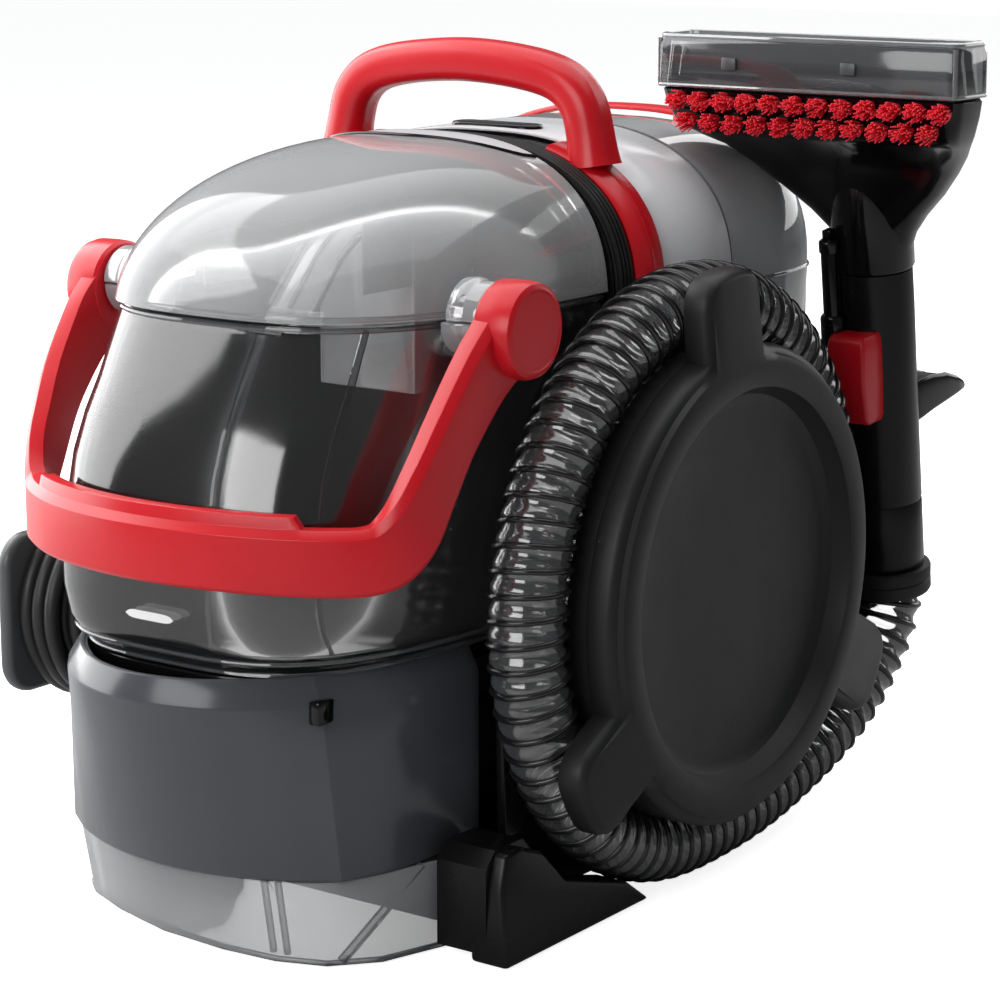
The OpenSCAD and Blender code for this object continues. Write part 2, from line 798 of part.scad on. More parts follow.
module tool_head() color(BLACK) {
    on_head() {
        difference() {
            union() {
                loft([for (s = head_rings)
                    [for (p = [[1, -0.6], [0.7, -1], [-0.7, -1], [-1, -0.6], [-1, 0.6],
                            [-0.7, 1], [0.7, 1], [1, 0.6]])
                        [s[1] * p[0], s[3] + s[2] * p[1], s[0]]]]);
            }
            translate([-60, -6, 8]) cube([120, 12, 20]);
        }
    }
    on_wand() translate([0, 0, 136.2]) difference() {
        cylinder(r = 17, h = 48);
        translate([0, 0, -1]) cylinder(r = 14.2, h = 40);
    }
}

module nozzle_window() color([0.35, 0.36, 0.38, 0.6]) {
    on_head() difference() {
        translate([-head_w / 2, -15, 14]) cube([head_w, 29, 22]);
        translate([-head_w / 2 + 3, -12.6, 10]) cube([head_w - 6, 24.2, 23.5]);
    }
}

module window_clips() color("#2a2c30") {
    on_head() for (x = [-34, 22]) translate([x, 0, 0]) {
        translate([-4, -14, 36.1]) cube([8, 20, 1.6]);
    }
}

module bristles() color(RED) {
    on_head() {
        for (row = [[11, -60, 9], [10, -55, 1]], k = [0:row[0]])
            translate([row[1] + 11 * k, -11.2, row[2]]) rotate([80, 0, 0])
                cylinder(r1 = 2.5, r2 = 4, h = 9, $fn = 16);
    }
}

base_pan();
rubber_feet();
front_skirt();
front_fascia();
tank_deck();
housing_left();
housing_right();
rear_housing();
exhaust_grille();
side_panel_left();
side_panel_right();
ribbed_strip();
top_cover();
power_switch();
carry_handle();
side_trims();
case_screws();
vacuum_motor();
motor_mount();
impeller();
fan_housing();
suction_duct();
circuit_board();
pump();
heater();
water_line();
hose_hub();
wrap_flange();
flange_screws();
hose_port();
suction_hose();
tool_holder();
cord_hook_front();
cord_hook_rear();
strain_relief();
cord_lead();
cord_winding();
mains_plug();
dirty_tank();
tank_lid();
lid_gasket();
separator();
float_ball();
bail();
bail_pins();
bail_knobs();
clean_tank();
clean_tank_strap();
fill_cap();
tank_valve();
wand_grip();
hose_collar();
spray_trigger();
trigger_pin();
wand_latch();
spray_tube();
tool_head();
nozzle_window();
window_clips();
bristles();
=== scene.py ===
# Portable carpet spot cleaner: looks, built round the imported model.
# Lengths below are millimetres in the model's frame: +X hose side, -Y front, +Z up.
import json
import math
import random
import bpy
import bmesh
from mathutils import Matrix, Vector

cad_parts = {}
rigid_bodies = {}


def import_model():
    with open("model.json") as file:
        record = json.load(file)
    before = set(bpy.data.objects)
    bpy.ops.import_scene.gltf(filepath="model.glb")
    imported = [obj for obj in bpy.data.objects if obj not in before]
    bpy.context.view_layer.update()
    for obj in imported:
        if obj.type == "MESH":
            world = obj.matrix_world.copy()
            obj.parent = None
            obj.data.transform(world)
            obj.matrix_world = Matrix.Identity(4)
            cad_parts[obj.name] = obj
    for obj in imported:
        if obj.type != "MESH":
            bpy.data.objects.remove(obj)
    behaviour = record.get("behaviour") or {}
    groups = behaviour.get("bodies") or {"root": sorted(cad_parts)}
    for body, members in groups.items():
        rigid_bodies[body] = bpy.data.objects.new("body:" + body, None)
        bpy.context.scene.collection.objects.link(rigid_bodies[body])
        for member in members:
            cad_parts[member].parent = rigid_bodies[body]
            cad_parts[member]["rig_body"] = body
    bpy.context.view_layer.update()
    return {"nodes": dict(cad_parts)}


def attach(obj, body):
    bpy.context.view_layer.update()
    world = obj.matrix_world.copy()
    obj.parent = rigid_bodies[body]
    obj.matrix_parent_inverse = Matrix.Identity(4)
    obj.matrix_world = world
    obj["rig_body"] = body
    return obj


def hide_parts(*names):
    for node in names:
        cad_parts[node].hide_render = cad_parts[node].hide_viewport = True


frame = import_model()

MM = 0.001
scene = bpy.context.scene
scene.view_settings.view_transform = "Standard"

# ---- camera --------

azimuth, elevation = math.radians(35.8), math.radians(12.2)
back = Vector((math.sin(azimuth) * math.cos(elevation),
               -math.cos(azimuth) * math.cos(elevation), math.sin(elevation)))
camera = bpy.data.objects.new("camera", bpy.data.cameras.new("camera"))
camera.data.lens = 108
camera.data.sensor_width = 36
camera.location = (0.73648, -1.00430, 0.41031)
camera.rotation_euler = back.to_track_quat("Z", "Y").to_euler()
scene.collection.objects.link(camera)
scene.camera = camera

# ---- mesh tools --------


def power(v, e):
    return math.copysign(abs(v) ** e, v)


def lerp(a, b, t):
    return a + (b - a) * t


def spline(points, per, closed=False):
    """Catmull-Rom curve through points, with per steps between two of them."""
    pts = [Vector(p) for p in points]
    n = len(pts)
    out = []
    for i in range(n if closed else n - 1):
        if closed:
            a, b, c, d = (pts[(i + k) % n] for k in (-1, 0, 1, 2))
        else:
            b, c = pts[i], pts[i + 1]
            a = pts[i - 1] if i else b * 2 - c
            d = pts[i + 2] if i + 2 < n else c * 2 - b
        for k in range(per):
            t = k / per
            out.append(0.5 * (2 * b + (c - a) * t + (2 * a - 5 * b + 4 * c - d) * t * t
                              + (3 * b - a - 3 * c + d) * t ** 3))
    if not closed:
        out.append(pts[-1])
    return out


class Shape:
    """Vertices and faces in millimetres, gathered before they become one piece."""

    def __init__(self):
        self.verts, self.faces = [], []

    def add(self, verts, faces):
        n = len(self.verts)
        self.verts += [Vector(v) for v in verts]
        self.faces += [[i + n for i in f] for f in faces]
        return self

    def loft(self, rings, caps=True, around=True, closed=False):
        n, m = len(rings[0]), len(rings)
        faces = []
        for j in range(m if closed else m - 1):
            k = (j + 1) % m
            for i in range(n if around else n - 1):
                a, b = j * n + i, j * n + (i + 1) % n
                c, d = k * n + (i + 1) % n, k * n + i
                faces.append([a, b, c, d])
        if caps and not closed:
            faces.append(list(range(n))[::-1])
            faces.append([(m - 1) * n + i for i in range(n)])
        return self.add([v for r in rings for v in r], faces)

    def lathe(self, profile, origin, axis, steps=64, caps=True):
        """Profile of (radius, distance along axis)."""
        axis = Vector(axis).normalized()
        u = axis.orthogonal().normalized()
        w = axis.cross(u)
        rings = [[Vector(origin) + axis * h + (u * math.cos(2 * math.pi * k / steps)
                  + w * math.sin(2 * math.pi * k / steps)) * r for k in range(steps)]
                 for r, h in profile]
        return self.loft(rings, caps)

    def prism(self, outline, lo, hi, plane="z"):
        """Outline of two-number points, thick from lo to hi across the named axis."""
        def at(p, h):
            return {"z": (p[0], p[1], h), "y": (p[0], h, p[1]), "x": (h, p[0], p[1])}[plane]
        return self.loft([[at(p, lo) for p in outline], [at(p, hi) for p in outline]])

    def box(self, lo, hi):
        return self.prism([(lo[0], lo[1]), (hi[0], lo[1]), (hi[0], hi[1]), (lo[0], hi[1])],
                          lo[2], hi[2])

    def tube(self, path, radius, sides=16, caps=True, side=(0, 0, 1), squash=1.0, closed=False):
        """Round bar along path; radius may be a function of the share of the way along."""
        pts = [Vector(p) for p in path]
        m = len(pts)
        rings, side = [], Vector(side)
        for i, p in enumerate(pts):
            if closed:
                t = (pts[(i + 1) % m] - pts[i - 1]).normalized()
            else:
                t = (pts[min(i + 1, m - 1)] - pts[max(i - 1, 0)]).normalized()
            a = side - t * side.dot(t)
            a = a.normalized() if a.length > 1e-4 else t.orthogonal().normalized()
            side = a
            b = t.cross(a)
            r = radius(i / max(m - 1, 1)) if callable(radius) else radius
            rings.append([p + (a * math.cos(2 * math.pi * k / sides)
                               + b * math.sin(2 * math.pi * k / sides) * squash) * r
                          for k in range(sides)])
        return self.loft(rings, caps, closed=closed)

    def mirrored(self):
        """Adds the same again on the other side of the middle plane."""
        n = len(self.verts)
        self.verts += [Vector((-v.x, v.y, v.z)) for v in self.verts]
        self.faces += [[i + n for i in f][::-1] for f in self.faces]
        return self

    def moved(self, matrix):
        self.verts = [matrix @ v for v in self.verts]
        return self

    def piece(self, name, finish, body, nodes=(), slot=None, bevel=0.0, steps=2, over=28,
              smooth=40, sub=0):
        """Makes the object: bevels its sharp edges, rides it on body, stands for nodes."""
        bm = bmesh.new()
        vs = [bm.verts.new(v * MM) for v in self.verts]
        for f in self.faces:
            if len(set(f)) > 2:
                bm.faces.new([vs[i] for i in f])
        bmesh.ops.remove_doubles(bm, verts=bm.verts, dist=2e-6)
        bmesh.ops.recalc_face_normals(bm, faces=bm.faces)
        if bevel:
            sharp = [e for e in bm.edges if len(e.link_faces) == 2
                     and e.calc_face_angle(0) > math.radians(over)]
            bmesh.ops.bevel(bm, geom=sharp, offset=bevel * MM, segments=steps, profile=0.5,
                            affect="EDGES", clamp_overlap=True)
        mesh = bpy.data.meshes.new(name)
        bm.to_mesh(mesh)
        bm.free()
        mesh.shade_smooth()
        mesh.set_sharp_from_angle(angle=math.radians(smooth))
        ob = bpy.data.objects.new(name, mesh)
        scene.collection.objects.link(ob)
        mesh.materials.append(finish)
        if sub:
            mod = ob.modifiers.new("smooth", "SUBSURF")
            mod.levels = mod.render_levels = sub
        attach(ob, body)
        if nodes:
            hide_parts(*nodes)
        return ob


def refined(node, finish, bevel=0.8, steps=2, smooth=35, slot=None):
    """The CAD node's own shape with its sharp edges rounded."""
    source = frame["nodes"][node]
    bm = bmesh.new()
    bm.from_mesh(source.data)
    bmesh.ops.remove_doubles(bm, verts=bm.verts, dist=1e-5)
    bmesh.ops.dissolve_limit(bm, angle_limit=math.radians(1), verts=bm.verts, edges=bm.edges)
    shape = Shape()
    shape.verts = [v.co / MM for v in bm.verts]
    shape.faces = [[v.index for v in f.verts] for f in bm.faces]
    bm.free()
    return shape.piece(node + "_skin", finish, source["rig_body"], [node], slot, bevel=bevel,
                       steps=steps, over=35, smooth=smooth)


# ---- materials --------


def nodes_of(name):
    m = bpy.data.materials.new(name)
    m.use_nodes = True
    tree = m.node_tree
    tree.nodes.clear()
    out = tree.nodes.new("ShaderNodeOutputMaterial")
    return m, tree, out


def link(tree, a, b):
    tree.links.new(a, b)


def noise(tree, scale, detail=3.0, rough=0.55, where=None):
    co = where or tree.nodes.new("ShaderNodeTexCoord").outputs["Object"]
    n = tree.nodes.new("ShaderNodeTexNoise")
    n.inputs["Scale"].default_value = scale
    n.inputs["Detail"].default_value = detail
    n.inputs["Roughness"].default_value = rough
    link(tree, co, n.inputs["Vector"])
    return n.outputs["Fac"]


def ramp(tree, value, low, high):
    r = tree.nodes.new("ShaderNodeMapRange")
    r.inputs["To Min"].default_value = low
    r.inputs["To Max"].default_value = high
    link(tree, value, r.inputs["Value"])
    return r.outputs["Result"]


def plastic(name, color, rough, grain=0.0, grain_scale=1400, vary=0.08, spec=0.5, coat=0.0,
            coat_rough=0.05, metal=0.0, ior=1.5):
    """Moulded plastic or metal: mottled colour, uneven gloss and a fine moulded grain."""
    m, tree, out = nodes_of(name)
    p = tree.nodes.new("ShaderNodeBsdfPrincipled")
    p.inputs["Specular IOR Level"].default_value = spec
    p.inputs["IOR"].default_value = ior
    p.inputs["Metallic"].default_value = metal
    p.inputs["Coat Weight"].default_value = coat
    p.inputs["Coat Roughness"].default_value = coat_rough
    mix = tree.nodes.new("ShaderNodeMix")
    mix.data_type = "RGBA"
    mix.inputs[6].default_value = (*[c * (1 - vary) for c in color], 1)
    mix.inputs[7].default_value = (*[min(1, c * (1 + vary)) for c in color], 1)
    link(tree, noise(tree, 24, 4), mix.inputs[0])
    link(tree, mix.outputs[2], p.inputs["Base Color"])
    link(tree, ramp(tree, noise(tree, 60, 3), rough * 0.85, rough * 1.15), p.inputs["Roughness"])
    if grain:
        b = tree.nodes.new("ShaderNodeBump")
        b.inputs["Strength"].default_value = grain
        b.inputs["Distance"].default_value = 0.0002
        link(tree, noise(tree, grain_scale, 2), b.inputs["Height"])
        link(tree, b.outputs["Normal"], p.inputs["Normal"])
    link(tree, p.outputs[0], out.inputs["Surface"])
    return m


def clear(name, color, face, edge, rough=0.04, ior=2.3, vary=0.06, curve=2.0):
    """Thin clear plastic: see-through face on, denser at its edges, under a glossy surface."""
    m, tree, out = nodes_of(name)
    p = tree.nodes.new("ShaderNodeBsdfPrincipled")
    p.inputs["IOR"].default_value = 1.5
    p.inputs["Specular IOR Level"].default_value = 0.2
    mix = tree.nodes.new("ShaderNodeMix")
    mix.data_type = "RGBA"
    mix.inputs[6].default_value = (*[c * (1 - vary) for c in color], 1)
    mix.inputs[7].default_value = (*color, 1)
    link(tree, noise(tree, 14, 2), mix.inputs[0])
    link(tree, mix.outputs[2], p.inputs["Base Color"])
    link(tree, ramp(tree, noise(tree, 40, 2), rough * 0.8, rough * 1.3), p.inputs["Roughness"])
    weight = tree.nodes.new("ShaderNodeLayerWeight")
    weight.inputs["Blend"].default_value = 0.5
    bend = tree.nodes.new("ShaderNodeMath")
    bend.operation = "POWER"
    bend.inputs[1].default_value = curve
    link(tree, weight.outputs["Facing"], bend.inputs[0])
    through = tree.nodes.new("ShaderNodeBsdfTransparent")
    body = tree.nodes.new("ShaderNodeMixShader")
    link(tree, ramp(tree, bend.outputs[0], face, edge), body.inputs["Fac"])
    link(tree, through.outputs[0], body.inputs[1])
    link(tree, p.outputs[0], body.inputs[2])
    gloss = tree.nodes.new("ShaderNodeBsdfGlossy")
    gloss.inputs["Roughness"].default_value = rough
    fresnel = tree.nodes.new("ShaderNodeFresnel")
    fresnel.inputs["IOR"].default_value = ior
    skin = tree.nodes.new("ShaderNodeMixShader")
    link(tree, fresnel.outputs[0], skin.inputs["Fac"])
    link(tree, body.outputs[0], skin.inputs[1])
    link(tree, gloss.outputs[0], skin.inputs[2])
    link(tree, skin.outputs[0], out.inputs["Surface"])
    return m


red = plastic("red_gloss_plastic", (0.56, 0.006, 0.013), 0.30, grain=0.04, spec=0.4)
red_soft = plastic("red_brush_fibre", (0.86, 0.03, 0.055), 0.55, vary=0.12)
black = plastic("black_satin_plastic", (0.0045, 0.0045, 0.005), 0.28, grain=0.06, spec=0.25)
gloss_black = plastic("black_gloss_plastic", (0.003, 0.003, 0.0033), 0.12, grain=0.02, spec=0.35)
matte_black = plastic("black_matte_plastic", (0.010, 0.0103, 0.0103), 0.46, grain=0.2, spec=0.3)
grey = plastic("dark_grey_gloss_plastic", (0.062, 0.066, 0.075), 0.2, grain=0.03, vary=0.05,
               spec=0.45)
hook_grey = plastic("grey_hook_plastic", (0.055, 0.06, 0.062), 0.35, grain=0.1)
pale = plastic("pale_top_plastic", (0.66, 0.68, 0.70), 0.2, vary=0.03)
white = plastic("white_plastic", (0.78, 0.78, 0.77), 0.35, vary=0.03)
print_white = plastic("fill_mark_ink", (0.86, 0.86, 0.86), 0.5, vary=0.02)
rubber = plastic("black_rubber", (0.012, 0.012, 0.012), 0.55, grain=0.2, spec=0.3)
cord_skin = plastic("cord_sheath", (0.010, 0.010, 0.011), 0.42, grain=0.12, spec=0.4)
dark_works = plastic("dark_works_plastic", (0.03, 0.031, 0.035), 0.4, grain=0.1)
steel = plastic("screw_steel", (0.55, 0.55, 0.57), 0.28, metal=1.0, grain=0.1)
works_metal = plastic("motor_metal", (0.42, 0.43, 0.45), 0.34, metal=0.9, grain=0.15)
board_green = plastic("board_laminate", (0.015, 0.10, 0.04), 0.4)
# Dark grey tint of the clear tank is painted shade: it darkens the tank's grazing edges, standing
# in for the dark edges clear plastic shows.
tank_clear_painted_shade = clear("clear_tank_plastic_painted_edge_shade", (0.075, 0.078, 0.082), 0.05, 0.78, rough=0.10,
                   curve=2.6, ior=1.75)
# Pale whitish tint of the clear lid is painted light: it stands in for white reflections and the
# bright background seen in the lid.
lid_clear_painted_light = clear("clear_lid_plastic_painted_light", (0.84, 0.85, 0.86), 0.20, 0.62, rough=0.06, curve=1.8,
                  ior=1.25)
duct_clear = clear("clear_duct_plastic", (0.66, 0.675, 0.69), 0.3, 0.75, rough=0.12,
                   curve=1.3, ior=1.4)
rib_clear = clear("clear_rib_plastic", (0.16, 0.165, 0.175), 0.34, 0.9, ior=1.7)
rear_clear = clear("clear_rear_tank_plastic", (0.66, 0.68, 0.70), 0.5, 0.9, curve=1.4, ior=1.5)
skirt_clear = clear("clear_skirt_plastic", (0.50, 0.51, 0.525), 0.42, 0.8, rough=0.2, ior=1.3)
smoke = clear("smoke_window_plastic", (0.075, 0.078, 0.083), 0.62, 0.92, rough=0.06, ior=1.6)
hose_clear = clear("clear_hose_plastic", (0.16, 0.165, 0.17), 0.2, 0.62, rough=0.13,
                   curve=1.5, ior=2.2)
hose_wire = plastic("hose_helix_plastic", (0.008, 0.008, 0.009), 0.2, spec=0.55)

# ---- mains cord, wound on its two hooks --------

FRONT_Y, REAR_Y, WIND_Z = -92, 104, 97
COLUMNS = (-117, -124, -131, -138)


def half_turn(y, r, x, rising, n=16):
    """Points round one hook, upwards at the rear or downwards at the front."""
    sign = 1 if rising else -1
    return [(x, y + sign * r * math.sin(math.pi * k / n),
             WIND_Z - sign * r * math.cos(math.pi * k / n)) for k in range(n + 1)]


def run(y0, y1, z, x0, x1, r_step=0.0, n=12):
    """Points of a straight run, shifted sideways or outwards in its middle."""
    out = []
    for k in range(1, n):
        f = k / n
        e = min(1, max(0, (f - 0.2) / 0.5))
        e = e * e * (3 - 2 * e)
        out.append((lerp(x0, x1, e), lerp(y0, y1, f), z + r_step * e))
    return out


INNER, OUTER = 31.5, 38.5        # radii of the two layers of turns
CORD_R = 3.5
cord_path = [Vector(p) for p in ((-107.6, 31, 57), (-109.6, 38, 58.6), (-111, 46, 61.3),
                                 (-112, 56, 64), (-114, 68, 65.3), (-116.6, 82, 65.5),
                                 (-117, 93, 65.5))]
layers = [(INNER, x) for x in COLUMNS] + [(OUTER, x) for x in reversed(COLUMNS)]
for k, (r, x) in enumerate(layers):
    cord_path += half_turn(REAR_Y, r, x, True)
    if k == len(layers) - 1:
        break
    nr, nx = layers[k + 1]
    cord_path += run(REAR_Y, FRONT_Y, WIND_Z + r, x, x)
    cord_path += half_turn(FRONT_Y, r, x, False)
    cord_path += run(FRONT_Y, REAR_Y, WIND_Z - r, x, nx, r - nr)
cord_path += [(-118, 96, 136.4), (-120.5, 86, 140), (-124, 75, 146), (-126.6, 66, 149.4),
              (-127, 60, 150), (-127, 54, 150)]
cord_path = spline(cord_path, 2)
s = Shape().tube(cord_path, CORD_R, 12, side=(1, 0, 0))
mains_cord = s.piece("mains_cord", cord_skin, "base", ["cord_lead", "cord_winding"], smooth=60)
s = Shape()
rings = []
for y, a, b in ((60.0, 4.6, 4.6), (59.2, 5.4, 5.2), (54, 6.0, 5.6), (53.4, 5.2, 4.9),
                (52, 5.2, 4.9), (51.4, 6.6, 6.2), (47, 8.6, 7.2), (44, 11.2, 9.4),
                (40, 12, 10.6), (34, 11.6, 10.4), (28, 11.2, 10.4), (24, 11.9, 10.9),
                (20.8, 11.9, 10.9), (20, 11.2, 10.2)):
    rings.append([(-127 + a * power(math.cos(c), 0.7), y, 150 + b * power(math.sin(c), 0.7))
                  for c in [2 * math.pi * k / 40 for k in range(40)]])
s.loft(rings)
plug = s.piece("mains_plug_skin", cord_skin, "base", ["mains_plug"], bevel=0.3)
s = Shape()
for dx in (-6.35, 6.35):
    s.box((-127 + dx - 0.75, 3.0, 146.9), (-127 + dx + 0.75, 20.4, 153.1))
prongs = s.piece("plug_prongs", steel, "base", bevel=0.5)

# ---- plan outlines shared by several pieces --------

TANK_Y, TANK_BACK = -38, -30.5


def plan(w, l, z, m=3.0, back=TANK_BACK, y0=TANK_Y, n=56):
    """Outline rounded at the front and flat at the back, seen from above."""
    pts = []
    for i in range(n + 1):
        t = math.pi * i / n
        pts.append((w * power(math.cos(t), 2 / m), y0 - l * power(math.sin(t), 2 / m), z))
    return pts + [(-w, back, z), (0, back, z), (w, back, z)]


def arch_x(w, h, z, spring=232, e=2.6):
    return w * (1 - (max(0, z - spring) / h) ** e) ** (1 / e)


def inward(path):
    """Unit vectors pointing to the left of an open plan path."""
    out = []
    for i in range(len(path)):
        a, b = path[max(i - 1, 0)], path[min(i + 1, len(path) - 1)]
        d = Vector((b[0] - a[0], b[1] - a[1])).normalized()
        out.append(Vector((-d.y, d.x)))
    return out


def wall(shape, low, high, z0, z1, profile):
    """Wall along an open plan path that runs from low to high; profile is (z, inset) round."""
    rings = []
    low_in, high_in = inward(low), inward(high)
    for a, b, na, nb in zip(low, high, low_in, high_in):
        ring = []
        for z, inset in profile:
            t = (z - z0) / (z1 - z0)
            n = na.lerp(nb, t)
            ring.append((lerp(a[0], b[0], t) + n.x * inset, lerp(a[1], b[1], t) + n.y * inset, z))
        rings.append(ring)
    return shape.loft(rings)


def joined(*runs):
    """One path from several curved runs that meet at corners."""
    out = []
    for run in runs:
        pts = spline([(x, y, 0) for x, y in run], 10)
        out += pts if not out else pts[1:]
    return out


# ---- body --------

refined("base_pan", black, 1.6, 3)
refined("rubber_feet", rubber, 0.8)
refined("tank_deck", black, 1.0)
refined("rear_housing", black, 1.4, 3)
refined("exhaust_grille", matte_black, 0.4)
refined("side_panel_left", black, 1.2, 3)
refined("side_panel_right", black, 1.2, 3)
refined("hose_port", black, 0.8)
refined("tool_holder", hook_grey, 1.2, 3)

# Arched housing in two halves with a seam between them, and the recess of the air port
refined("housing_left", black, 1.2, 3)
refined("housing_right", black, 1.2, 3)
port_ring = Shape().lathe([(12.8, 0), (15.5, 0), (15.5, -2.2), (12.8, -2.2)], (0, -27.9, 262),
                          (0, 1, 0), 48, caps=False)
port_ring.loft([port_ring.verts[-48:], port_ring.verts[:48]], caps=False)
port_ring.piece("air_port_ring", gloss_black, "base", bevel=0.4)

# Fascia band: outline at its foot and at its rim, with the facet at the right front corner
fascia_low = joined([(-80, -108), (-77, -150), (-68, -178)],
                    [(-68, -178), (-50, -190), (-26, -199.5), (0, -203), (26, -199.5), (50, -190),
                     (68, -178)],
                    [(68, -178), (77, -150), (80, -108)])
fascia_high = joined([(-80, -108), (-74, -152), (-63, -184)],
                     [(-63, -184), (-47, -202), (-26, -216.5), (0, -222), (26, -216.5),
                      (47, -202), (63, -184)],
                     [(63, -184), (74, -152), (80, -108)])
s = wall(Shape(), fascia_low, fascia_high, 35, 114,
         [(35, 0.8), (35, 3.5), (104, 8.5), (109, 9.5), (113.4, 8.6), (113.9, 7.2), (113.5, 5.8),
          (104.6, 0.5), (103.2, 0), (80, 0), (60, 0), (36, 0)])
s.piece("fascia_skin", grey, "base", ["front_fascia"], bevel=0.5, over=22, smooth=24)
# Dark catch let into the fascia's rim at the facet
s = Shape().box((60.5, -187.2, 97), (65.5, -178, 106))
s.piece("fascia_catch", gloss_black, "base", bevel=0.8)
# Ledge between the fascia's rim and the tank's foot
s = Shape().prism([(x, y) for x, y, _ in plan(74.5, 160, 0, 3.4, back=-29.5)], 105, 112.3, "z")
s.piece("tank_seat", gloss_black, "base", bevel=1.0)

# Clear skirt under the fascia, with its moulded ribs
skirt_low = joined([(-85, -126), (-80, -146), (-67, -169)],
                   [(-67, -169), (-45, -178), (-15, -186), (17, -188), (41, -186), (60, -179)],
                   [(60, -179), (74, -163), (85, -128)])
skirt_high = joined([(-84, -126), (-82, -146), (-73.5, -170)],
                    [(-73.5, -170), (-49, -184), (-20, -194), (12, -197), (30, -196), (44, -193)],
                    [(44, -193), (66, -176), (85, -128)])
s = wall(Shape(), skirt_low, skirt_high, 1, 35,
         [(1, 0), (1, 2.6), (34.6, 2.6), (34.6, 0), (20, 0), (4, 0)])
s.piece("skirt_skin", skirt_clear, "base", ["front_skirt"], bevel=0.5)
s = Shape()
for x, y, shift in ((-40, -178, 6), (-33, -181, 6), (36, -184, 3), (42, -183, 3)):
    s.tube([(x, y + 4, 2), (x + shift, y - 4.5, 33)], 1.5, 8)
s.tube([(64, -174, 2), (72, -160, 18), (78, -142, 34)], 2.0, 8)
s.tube([(-76, -160, 1.6), (-67, -167.5, 1.4), (-45, -176.6, 1.4), (-15, -184.6, 1.4),
        (17, -186.6, 1.4), (41, -184.6, 1.4), (60, -177.6, 1.4), (74, -161.8, 1.4),
        (83, -134, 1.4)], 1.2, 8)
s.piece("skirt_ribs", rib_clear, "base")

# Right foot of the base, beside the skirt
s = Shape().prism([(-143, 0.6), (-140, 30), (-136, 43), (-127, 44), (-112, 38), (-96, 22),
                   (-60, 12), (-44, 0.6)], 101, 113.5, "x")
s.verts = [Vector((v.x + (5 if v.x > 107 and v.z < 14 else 0), v.y, v.z)) for v in s.verts]
s.piece("right_foot", black, "base", bevel=2.0, steps=3)

# ---- arch: ribbed strip, trims, top cover and switch --------


def arch_strip(shape, y_profile, x_from, x_to, n=72):
    """Band over the arch; y_profile is (y, lift off the arch) round its section."""
    rings = []
    for i in range(n + 1):
        t = math.pi * i / n
        x, z = math.cos(t), math.sin(t)
        px, pz = power(x, 2 / 2.6), power(z, 2 / 2.6)
        here = (88 * px, 232 + 64 * pz)
        if not x_from <= here[0] <= x_to:
            continue
        tangent = Vector((power(x, 2 - 2 / 2.6) / 88, power(z, 2 - 2 / 2.6) / 64)).normalized()
        rings.append([(here[0] + tangent.x * up, y, here[1] + tangent.y * up)
                      for y, up in y_profile])
    return shape.loft(rings)


s = Shape()
for k in range(4):
    y = -26.6 + 2.5 * k
    arch_strip(s, [(y, 0.3), (y, 2.4), (y + 0.4, 2.8), (y + 1.1, 2.8), (y + 1.5, 2.4),
                   (y + 1.5, 0.3)], -88, 88)
arch_strip(s, [(-27.4, 0.3), (-27.4, 1.5), (-17, 1.5), (-17, 0.3)], -88, 88)
s.piece("ribbed_strip_skin", matte_black, "base", ["ribbed_strip"])

s = Shape()
band = [(-15.6, 0.3), (-16, 2.6), (-14.6, 4.2), (-6.6, 4.9), (-6.3, 4.5), (-5.7, 4.5),
        (-5.4, 4.9), (2.6, 4.2), (4, 2.6), (3.6, 0.3)]
arch_strip(s, band, 44, 88.1)
s.mirrored()
s.piece("side_trims_skin", red, "base", ["side_trims"], smooth=50)

s = Shape()
arch_strip(s, [(5.2, 0.3), (5, 1.8), (6, 2.6), (31, 2.9), (56, 2.6), (57, 1.8), (56.8, 0.3)],
           -88, 88)
s.piece("top_cover_skin", pale, "base", ["top_cover"])
s = Shape()
arch_strip(s, [(4.2, 0.2), (4.2, 1.2), (5.4, 1.2), (5.4, 0.2)], -87, 87)
arch_strip(s, [(56.6, 0.2), (56.6, 1.4), (57.8, 1.4), (57.8, 0.2)], -87, 87)
s.piece("cover_gaskets", gloss_black, "base")


def pill(half, r, n=12):
    return [(half - r + r * math.cos(a), r * math.sin(a)) for a in
            [math.pi * (k / n - 0.5) for k in range(n + 1)]] + \
           [(-half + r + r * math.cos(a), r * math.sin(a)) for a in
            [math.pi * (k / n + 0.5) for k in range(n + 1)]]


s = Shape()
rings = []
for z, grow in ((296.9, -0.4), (298.6, 0), (299.6, -0.6), (299.9, -2.2)):
    rings.append([(x, 15 + y, z - 0.9 * math.exp(-(x / 7) ** 2) * (z > 299)
                   ) for x, y in pill(22 + grow, 7 + grow)])
s.loft(rings)
s.piece("power_switch_skin", gloss_black, "switch", ["power_switch"], smooth=50)

# Carry handle: oval bar with a seam along its middle, splayed into the red band
path = spline([(-63, -6, 287), (-61, -6, 300), (-57, -6, 312), (-47, -6, 320.5), (-28, -6, 325),
               (0, -6, 327), (28, -6, 325), (47, -6, 320.5), (57, -6, 312), (61, -6, 300),
               (63, -6, 287)], 8)
s = Shape()
rings = []
m = len(path)
for i, p in enumerate(path):
    t = (path[min(i + 1, m - 1)] - path[max(i - 1, 0)]).normalized()
    a = Vector((0, 1, 0))
    b = t.cross(a)
    end = min(i, m - 1 - i)
    flare = 1.5 * max(0, 1 - end / 9) ** 2
    ring = []
    for k in range(40):
        c = 2 * math.pi * k / 40
        wide = 9.6 + flare
        deep = 8.9 + flare
        y, d = wide * power(math.cos(c), 0.8), deep * power(math.sin(c), 0.8)
        groove = 0.5 if k in (10, 30) else 0
        ring.append(p + a * y + b * (d - math.copysign(groove, d)))
    rings.append(ring)
s.loft(rings)
s.piece("carry_handle_skin", red, "base", ["carry_handle"], smooth=55)

# ---- dirty-water tank --------

